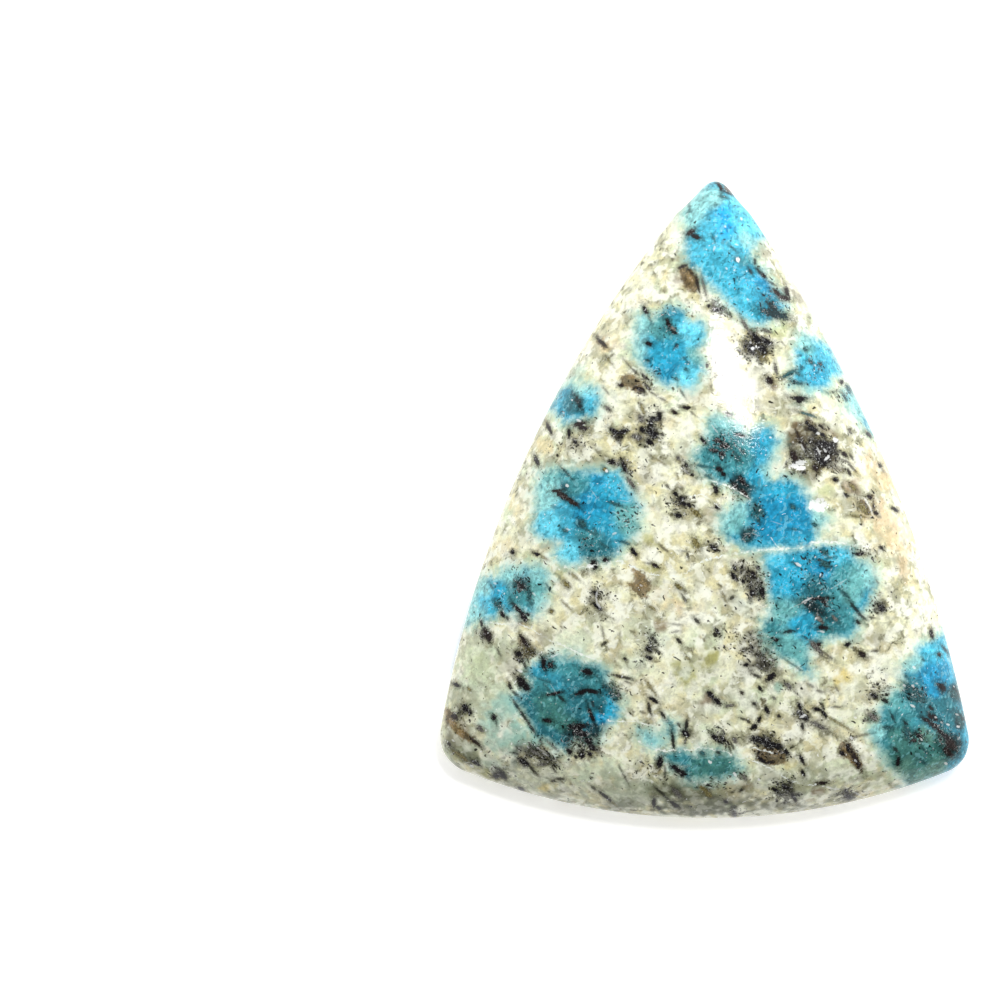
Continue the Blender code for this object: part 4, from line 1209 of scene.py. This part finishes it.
def paintStone(piece):
    shape = piece.data
    points = np.zeros(len(shape.vertices) * 3, np.float32)
    shape.vertices.foreach_get("co", points)
    points = points.reshape(-1, 3).astype(float) / mm
    turned = backLayout(points[:, :2])
    belowRim = np.maximum(0, stone["rimTop"] - points[:, 2])
    onDome = points[:, 2] > stone["rimTop"] - stone["rimMargin"]
    inward = np.where(onDome, 0.0, rimDepth(points[:, :2]))
    backShare = np.where(onDome, 0.0, smooth(1.1, 0.2, points[:, 2]))[:, None]

    shift = np.stack([noiseAt(points, 0.55, 1), noiseAt(points, 0.55, 2)], axis=1)
    fine = np.stack([noiseAt(points, 0.22, 3), noiseAt(points, 0.22, 4)], axis=1)
    moved = shift * painting["edge"] * 1.6 + fine * painting["edge"] * 0.7
    ragged = noiseAt(points, 0.3, 5) * 0.7 + noiseAt(points, 0.8, 6) * 0.4
    top = points[:, :2] + moved
    back = turned + moved
    print("noise ready")

    distance = bodiesDistance(points[:, :2], azurite.values()) + painting["fade"] * (belowRim + inward)
    behind = bodiesDistance(turned, azurite.values()) + np.where(onDome, 9.0, points[:, 2])
    writeAttribute(shape, "azurite", "FLOAT", "POINT", np.minimum(distance, behind))
    tones = azuriteColours(top)
    tones += backShare * (azuriteColours(back) - tones)
    writeAttribute(shape, "azuriteTone", "FLOAT_COLOR", "POINT", opaque(tones))
    print("azurite painted")

    ground = groundColours(points)
    rock = stainAndShadeColours(top, ragged, ground)
    rock += backShare * (stainAndShadeColours(back, ragged, ground) - rock)
    # the rock's colour with its stains, and the painted shade towards the base
    writeAttribute(shape, "rockToneAndShade", "FLOAT_COLOR", "POINT", rock)
    density = swarmDensity(top, ragged)
    density += backShare[:, 0] * (swarmDensity(back, ragged) - density)
    writeAttribute(shape, "swarm", "FLOAT", "POINT", density)
    grainDistance, grainTone = grainLayers(points[:, :2] + fine * 0.05)
    grainDistance = np.where(onDome, grainDistance, grainDistance + belowRim * 0.5 + inward)
    writeAttribute(shape, "grain", "FLOAT", "POINT", grainDistance)
    writeAttribute(shape, "grainTone", "FLOAT_COLOR", "POINT", opaque(grainTone))
    writeAttribute(shape, "polish", "FLOAT", "POINT", np.where(points[:, 2] > painting["backTop"], 1.0, 0.0))
    print("rock painted")
    drawMarks(shape, points)


paintStone(piece)


# The stone's finish: lengths are in millimetres
finish = {
    "polishedRoughness": 0.04,
    "groundRoughness": 0.5,
    "specular": 0.24,
    "coarse": 0.9,                            # four sizes of cloudiness, each by its patches per millimetre
    "medium": 2.6,
    "fine": 7.0,
    "grit": 16.0,
    "flakeSize": (0.26, 0.10, 0.10),
    "flakeSlant": -47,                        # most mica flakes lie this way, in degrees
    "crossSlant": 38,                         # and the rest about across them
    "crumbSize": (0.11, 0.09, 0.09),
    "streakSize": (0.2, 0.09, 0.12),          # fibres in the azurite
    "streakSlant": 55,
    # size and slant of the painted glitter highlights
    "sparkleSize": (0.12, 0.055, 0.06),
    "sparkleSlant": 40,
    "reliefDepth": 0.0024,                    # what the polish leaves standing
}
tints = {    # screen values, as seen under white light
    "greyQuartz": (160, 160, 130),
    "warmCream": (230, 214, 160),
    "smudge": (110, 108, 82),
    "milky": (250, 252, 234),
    "halo": (150, 212, 204),
    "paleStreak": (150, 222, 232),
    "darkStreak": (20, 78, 92),
    "dust": (124, 124, 114),
    "crumb": (96, 90, 72),
    "crossFlake": (64, 60, 52),
    "flake": (44, 40, 38),
    "flakeShade": (136, 134, 124),
    "healedCrack": (240, 246, 238),
    # the near-white of the painted highlights: glints, glitter and scratches
    "sparkle": (250, 252, 250),
}


def addNode(tree, kind, inputs=None, **settings):
    node = tree.nodes.new("ShaderNode" + kind)
    for name, value in settings.items():
        setattr(node, name, value)
    for socket, value in (inputs or {}).items():
        if isinstance(value, bpy.types.NodeSocket):
            tree.links.new(value, node.inputs[socket])
        else:
            node.inputs[socket].default_value = value
    return node


def calculate(tree, operation, first, second=0.0, third=0.0):
    return addNode(tree, "Math", {0: first, 1: second, 2: third}, operation=operation).outputs[0]


def times(tree, first, second):
    return calculate(tree, "MULTIPLY", first, second)


def scaledPlus(tree, value, factor, rest):    # value times factor, plus the rest
    return calculate(tree, "MULTIPLY_ADD", value, factor, rest)


def aroundZero(tree, texture):
    return calculate(tree, "SUBTRACT", texture, 0.5)


def between(tree, value, low, high, start=0.0, end=1.0):    # smooth step from low to high
    inputs = {"Value": value, "From Min": low, "From Max": high, "To Min": start, "To Max": end}
    return addNode(tree, "MapRange", inputs, interpolation_type="SMOOTHSTEP").outputs["Result"]


def blend(tree, amount, first, second, mode="MIX"):
    mix = addNode(tree, "Mix", {0: amount, 6: first, 7: second}, data_type="RGBA", blend_type=mode)
    return mix.outputs[2]


def tinted(tree, amount, colour, name, mode="MIX"):
    return blend(tree, amount, colour, paint(*tints[name]), mode)


def scaled(tree, colour, level):    # the colour, lighter or darker
    grey = addNode(tree, "CombineXYZ", {0: level, 1: level, 2: level}).outputs[0]
    return blend(tree, 1.0, colour, grey, "MULTIPLY")


def cloud(tree, where, perMillimetre, detail=3.0, roughness=0.6):
    inputs = {"Vector": where, "Scale": perMillimetre, "Detail": detail, "Roughness": roughness}
    return addNode(tree, "TexNoise", inputs, noise_dimensions="3D").outputs["Fac"]


def attribute(tree, name):
    return addNode(tree, "Attribute", attribute_name=name)


def cells(tree, where, size, turn=0.0, seed=0.0):    # Voronoi cells of a given size, turned about Z
    inputs = {"Vector": where, "Location": (seed, seed * 1.7, seed * 0.6), "Scale": size}
    inputs["Rotation"] = (0.35, 0.0, math.radians(turn))
    mapping = addNode(tree, "Mapping", inputs, vector_type="TEXTURE")
    return addNode(tree, "TexVoronoi", {"Vector": mapping.outputs[0], "Scale": 1.0}, feature="F1")


def cellSpecks(tree, found, density, reach, softness):    # one speck in as many cells as the density asks
    chance = addNode(tree, "SeparateColor", {"Color": found.outputs["Color"]})
    shown = calculate(tree, "LESS_THAN", chance.outputs[0], density)
    size = scaledPlus(tree, chance.outputs[1], reach * 0.7, reach * 0.55)
    edge = calculate(tree, "SUBTRACT", found.outputs["Distance"], size)
    return times(tree, shown, between(tree, edge, softness, -softness))


def markMask(tree, name, ragged, amount, low=0.8, high=1.2):    # the drawn ellipses, with a ragged edge
    mark = addNode(tree, "SeparateXYZ", {0: attribute(tree, name).outputs["Vector"]})
    flat = addNode(tree, "CombineXYZ", {0: mark.outputs[0], 1: mark.outputs[1]})
    radius = addNode(tree, "VectorMath", {0: flat.outputs[0]}, operation="LENGTH").outputs["Value"]
    radius = scaledPlus(tree, ragged, amount, radius)
    return times(tree, between(tree, radius, high, low), mark.outputs[2])


def rockColour(tree, where, texture):
    tone = attribute(tree, "rockToneAndShade")
    bare = scaledPlus(tree, tone.outputs["Alpha"], 0.7, 0.3)    # little shows over the painted stains and painted shade
    mottle = between(tree, cloud(tree, where, 3.2, 2.0, 0.6), 0.3, 0.7, 0.84, 1.08)
    level = times(tree, mottle, between(tree, texture["fine"], 0.3, 0.7, 0.88, 1.07))
    colour = scaled(tree, tone.outputs["Color"], level)
    quartz = scaledPlus(tree, texture["medium"], 0.5, texture["coarse"])
    quartz = between(tree, quartz, 0.70, 0.92, 0.0, 0.85)
    colour = tinted(tree, times(tree, quartz, bare), colour, "greyQuartz")
    warm = between(tree, cloud(tree, where, 1.3, 2.0), 0.52, 0.72, 0.0, 0.35)
    colour = tinted(tree, times(tree, warm, bare), colour, "warmCream")
    smudge = between(tree, cloud(tree, where, 2.4, 3.0, 0.66), 0.51, 0.68)
    smudge = times(tree, smudge, between(tree, texture["coarse"], 0.40, 0.56, 0.3, 0.95))
    colour = tinted(tree, times(tree, smudge, bare), colour, "smudge")
    milky = between(tree, cloud(tree, where, 1.6, 2.0), 0.50, 0.62, 0.0, 0.75)
    return tinted(tree, times(tree, milky, bare), colour, "milky")


def azuriteColour(tree, where, texture):
    level = between(tree, texture["medium"], 0.3, 0.7, 0.74, 1.30)
    level = times(tree, level, between(tree, texture["fine"], 0.3, 0.7, 0.78, 1.16))
    colour = scaled(tree, attribute(tree, "azuriteTone").outputs["Color"], level)
    streaks = cells(tree, where, finish["streakSize"], finish["streakSlant"], 7.3)
    chance = addNode(tree, "SeparateColor", {"Color": streaks.outputs["Color"]})
    pale = between(tree, chance.outputs[0], 0.84, 0.9, 0.0, 0.3)
    colour = tinted(tree, pale, colour, "paleStreak")
    dark = between(tree, chance.outputs[1], 0.82, 0.9, 0.0, 0.4)
    return tinted(tree, dark, colour, "darkStreak")


def azuriteLayer(tree, where, texture, colour):    # a pale halo, then the blue itself
    distance = attribute(tree, "azurite").outputs["Fac"]
    distance = scaledPlus(tree, aroundZero(tree, texture["medium"]), 0.7, distance)
    distance = scaledPlus(tree, aroundZero(tree, texture["fine"]), 0.3, distance)
    colour = tinted(tree, between(tree, distance, 0.6, -0.1, 0.0, 0.55), colour, "halo")
    blue = between(tree, distance, 0.22, -0.30)
    return blend(tree, blue, colour, azuriteColour(tree, where, texture)), blue


def grainLayer(tree, texture, colour):
    distance = attribute(tree, "grain").outputs["Fac"]
    distance = scaledPlus(tree, aroundZero(tree, texture["fine"]), 0.4, distance)
    level = between(tree, texture["grit"], 0.3, 0.7, 0.62, 1.4)
    level = times(tree, level, between(tree, texture["medium"], 0.35, 0.65, 0.45, 1.55))
    tone = scaled(tree, attribute(tree, "grainTone").outputs["Color"], level)
    return blend(tree, between(tree, distance, 0.06, -0.10, 0.0, 0.88), colour, tone)


def speckLayer(tree, where, texture, colour, swarm, blue):    # fine mica, dense where it is sown
    density = scaledPlus(tree, swarm, 0.62, 0.016)
    flakes = cells(tree, where, finish["flakeSize"], finish["flakeSlant"], 1.3)
    flakes = cellSpecks(tree, flakes, density, 0.42, 0.10)
    crossing = cells(tree, where, finish["flakeSize"], finish["crossSlant"], 5.9)
    crossing = cellSpecks(tree, crossing, times(tree, density, 0.5), 0.36, 0.10)
    crumbs = cellSpecks(tree, cells(tree, where, finish["crumbSize"], 0, 2.2), density, 0.40, 0.12)
    dust = between(tree, scaledPlus(tree, swarm, 0.34, texture["fine"]), 0.58, 0.9, 0.0, 0.8)
    dust = times(tree, dust, scaledPlus(tree, blue, -0.6, 1.0))
    colour = tinted(tree, dust, colour, "dust", "MULTIPLY")
    colour = tinted(tree, times(tree, crumbs, 0.9), colour, "crumb", "MULTIPLY")
    colour = tinted(tree, times(tree, crossing, 0.9), colour, "crossFlake", "MULTIPLY")
    return tinted(tree, times(tree, flakes, 0.95), colour, "flake", "MULTIPLY")


def flakeLayer(tree, texture, ragged, colour):    # the drawn flakes, each with a soft shade round it
    drawn = markMask(tree, "flake", ragged, 1.3, 0.7, 1.5)
    shade = markMask(tree, "flake", ragged, 2.2, 0.9, 3.2)
    colour = tinted(tree, times(tree, shade, 0.75), colour, "flakeShade", "MULTIPLY")
    level = between(tree, texture["grit"], 0.3, 0.7, 0.35, 1.5)
    tone = scaled(tree, attribute(tree, "flakeTone").outputs["Color"], level)
    return blend(tree, drawn, colour, tone), drawn


def healedCrackLayer(tree, texture, ragged, colour):
    crack = addNode(tree, "SeparateXYZ", {0: attribute(tree, "crack").outputs["Vector"]})
    across = scaledPlus(tree, aroundZero(tree, texture["fine"]), 6.0, crack.outputs[0])
    across = scaledPlus(tree, ragged, 1.2, calculate(tree, "ABSOLUTE", across))
    gap = times(tree, between(tree, across, 1.0, 0.3), crack.outputs[2])
    gap = times(tree, gap, between(tree, texture["medium"], 0.40, 0.60, 0.15, 0.9))
    return tinted(tree, gap, colour, "healedCrack"), gap


def sparkleLayer(tree, pushed, where, texture, ragged, colour, swarm):    # painted highlights: glints, glitter and scratches that catch the light, laid into the colour
    bright = markMask(tree, "glint", ragged, 1.3)
    glitter = cells(tree, pushed, finish["sparkleSize"], finish["sparkleSlant"], 4.4)
    glitter = cellSpecks(tree, glitter, scaledPlus(tree, swarm, 0.05, 0.014), 0.40, 0.16)
    bright = calculate(tree, "MAXIMUM", bright, times(tree, glitter, 0.8))
    curl = calculate(tree, "ABSOLUTE", aroundZero(tree, cloud(tree, where, 4.2, 2.0, 0.7)))
    shown = between(tree, scaledPlus(tree, swarm, 0.2, texture["medium"]), 0.53, 0.64)
    curl = times(tree, between(tree, curl, 0.012, 0.003), shown)
    bright = calculate(tree, "MAXIMUM", bright, times(tree, curl, 0.5))
    return tinted(tree, times(tree, bright, 0.8), colour, "sparkle"), bright


def surfaceRoughness(tree, texture, gap, bright):
    polish = attribute(tree, "polish").outputs["Fac"]
    rough = scaledPlus(tree, polish, finish["polishedRoughness"] - finish["groundRoughness"],
                       finish["groundRoughness"])
    rough = scaledPlus(tree, calculate(tree, "MAXIMUM", gap, bright), 0.3, rough)
    return scaledPlus(tree, aroundZero(tree, texture["fine"]), 0.05, rough)


def surfaceRelief(tree, texture, drawn, gap):    # flakes and cracks lie a little lower than the rock
    height = scaledPlus(tree, texture["fine"], 1.8, times(tree, texture["grit"], 0.3))
    height = scaledPlus(tree, drawn, -0.3, height)
    height = scaledPlus(tree, gap, -1.2, height)
    height = scaledPlus(tree, texture["medium"], 0.8, height)
    bump = addNode(tree, "Bump", {"Height": height, "Strength": 1.0, "Distance": finish["reliefDepth"] * mm})
    return bump.outputs["Normal"]


def pushedAbout(tree, where):    # bends the cells, so that no grain has a straight side
    middle = (0.5, 0.5, 0.5)
    push = addNode(tree, "TexNoise", {"Vector": where, "Scale": 2.2, "Detail": 2.0}).outputs["Color"]
    push = addNode(tree, "VectorMath", {0: push, 1: middle}, operation="SUBTRACT").outputs[0]
    return addNode(tree, "VectorMath", {0: push, 1: middle, 2: where}, operation="MULTIPLY_ADD").outputs[0]


def stoneMaterial():
    material = bpy.data.materials.new("polished azurite in quartz")
    material.use_nodes = True
    tree = material.node_tree
    shader = tree.nodes["Principled BSDF"]
    shader.inputs["Specular IOR Level"].default_value = finish["specular"]
    objectPlace = addNode(tree, "TexCoord").outputs["Object"]
    where = addNode(tree, "VectorMath", {0: objectPlace, 3: 1 / mm}, operation="SCALE").outputs[0]
    pushed = pushedAbout(tree, where)
    texture = {
        "coarse": cloud(tree, where, finish["coarse"], 2.0),
        "medium": cloud(tree, where, finish["medium"], 3.0, 0.62),
        "fine": cloud(tree, where, finish["fine"], 2.0, 0.65),
        "grit": cloud(tree, where, finish["grit"], 1.0, 0.6),
    }
    ragged = calculate(tree, "ADD", aroundZero(tree, texture["fine"]), aroundZero(tree, texture["grit"]))
    swarm = attribute(tree, "swarm").outputs["Fac"]

    colour = rockColour(tree, pushed, texture)
    colour, blue = azuriteLayer(tree, pushed, texture, colour)
    colour = grainLayer(tree, texture, colour)
    colour = speckLayer(tree, pushed, texture, colour, swarm, blue)
    colour, drawn = flakeLayer(tree, texture, ragged, colour)
    colour, gap = healedCrackLayer(tree, texture, ragged, colour)
    colour, bright = sparkleLayer(tree, pushed, where, texture, ragged, colour, swarm)
    tree.links.new(colour, shader.inputs["Base Color"])
    tree.links.new(surfaceRoughness(tree, texture, gap, bright), shader.inputs["Roughness"])
    tree.links.new(surfaceRelief(tree, texture, drawn, gap), shader.inputs["Normal"])
    return material


piece.data.materials.append(stoneMaterial())
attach(piece, "root")
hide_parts("cabochon")
print("stone finished")


# Studio
studio = {
    "floorSize": 900,
    "floorGlow": 0.42,                               # the floor glows, so it hardly takes a shadow
    "floorDrop": 0.02,                               # it lies this far under the stone
    "skyBase": 0.40,                                 # soft light from all round
    "skySlope": 1.80,                                # and how much more comes from the bright side
    "brightSide": (0.27, 0.80, 0.54),
    "leastSky": 0.12,                                # the dark side never falls below this
    "darkOverhead": 0.72,                            # the ceiling round the lens is this much darker
    "overheadCone": (0.70, 0.93),                    # cosines where that starts and where it is full
    "keyDistance": 260,
    "keyLight": 48,                                  # radiance of the key light's face
    "highlight": (729, 372),                         # where the dome mirrors the key light, in pixels
    "highlightEnds": ((709, 318), (752, 425)),
    "highlightSides": ((717, 377), (740, 367)),
}


def mirrorDirection(spot):    # where a line from the lens goes on to after it meets the dome
    x, y, z = onStone([spot])[0]
    step = 0.05
    around = np.array([(x + step, y), (x - step, y), (x, y + step), (x, y - step)])
    right, left, up, down = domeHeight(around)
    normal = Vector(((left - right) / (2 * step), (down - up) / (2 * step), 1)).normalized()
    towardsCamera = (Vector(camera["place"]) - Vector((x, y, z))).normalized()
    return 2 * normal.dot(towardsCamera) * normal - towardsCamera


def addCamera():
    data = bpy.data.cameras.new("camera")
    data.lens = camera["lens"]
    data.sensor_width = camera["sensor"]
    data.clip_start = 0.01
    view = bpy.data.objects.new("camera", data)
    view.location = Vector(camera["place"]) * mm
    bpy.context.scene.collection.objects.link(view)
    bpy.context.scene.camera = view


def addFloor():
    mesh = bmesh.new()
    bmesh.ops.create_grid(mesh, x_segments=1, y_segments=1, size=studio["floorSize"] / 2 * mm)
    shape = bpy.data.meshes.new("floor")
    mesh.to_mesh(shape)
    mesh.free()
    floor = bpy.data.objects.new("floor", shape)
    floor.location.z = -studio["floorDrop"] * mm
    bpy.context.scene.collection.objects.link(floor)
    material = bpy.data.materials.new("floor")
    material.use_nodes = True
    shader = material.node_tree.nodes["Principled BSDF"]
    shader.inputs["Base Color"].default_value = (0.98, 0.98, 0.98, 1)
    shader.inputs["Roughness"].default_value = 0.8
    shader.inputs["Specular IOR Level"].default_value = 0.1
    shader.inputs["Emission Color"].default_value = (1, 1, 1, 1)
    shader.inputs["Emission Strength"].default_value = studio["floorGlow"]
    shape.materials.append(material)


def addWorld():
    world = bpy.data.worlds.new("studio")
    world.use_nodes = True
    tree = world.node_tree
    direction = addNode(tree, "TexCoord").outputs["Generated"]
    facing = addNode(tree, "VectorMath", {0: direction, 1: studio["brightSide"]}, operation="DOT_PRODUCT")
    level = scaledPlus(tree, facing.outputs["Value"], studio["skySlope"], studio["skyBase"])
    level = calculate(tree, "MAXIMUM", level, studio["leastSky"])
    upward = addNode(tree, "SeparateXYZ", {0: direction}).outputs[2]
    overhead = between(tree, upward, *studio["overheadCone"], 1.0, 1 - studio["darkOverhead"])
    background = tree.nodes["Background"]
    tree.links.new(times(tree, level, overhead), background.inputs["Strength"])
    background.inputs["Color"].default_value = (1, 1, 1, 1)
    bpy.context.scene.world = world


def addKeyLight():    # a long soft light, placed where it gives the highlight that lies along the crown
    centre = mirrorDirection(studio["highlight"])
    tall = mirrorDirection(studio["highlightEnds"][0]) - mirrorDirection(studio["highlightEnds"][1])
    wide = mirrorDirection(studio["highlightSides"][1]) - mirrorDirection(studio["highlightSides"][0])
    up = (tall - centre * tall.dot(centre)).normalized()
    side = up.cross(centre)
    data = bpy.data.lights.new("key light", "AREA")
    data.shape = "ELLIPSE"
    data.size = wide.length * studio["keyDistance"] * mm
    data.size_y = tall.length * studio["keyDistance"] * mm
    face = math.pi / 4 * data.size * data.size_y
    data.energy = studio["keyLight"] * math.pi * face
    light = bpy.data.objects.new("key light", data)
    spot = Vector(onStone([studio["highlight"]])[0])
    turn = Matrix((side, up, centre)).transposed()    # its face looks back along -centre
    place = spot + centre * studio["keyDistance"]
    light.matrix_world = Matrix.Translation(place * mm) @ turn.to_4x4()
    light.visible_camera = False
    bpy.context.scene.collection.objects.link(light)
    print("key light", [round(value) for value in place],
          round(data.size / mm), "x", round(data.size_y / mm), "mm")


addCamera()
addFloor()
addWorld()
addKeyLight()
bpy.context.scene.view_settings.view_transform = "Standard"
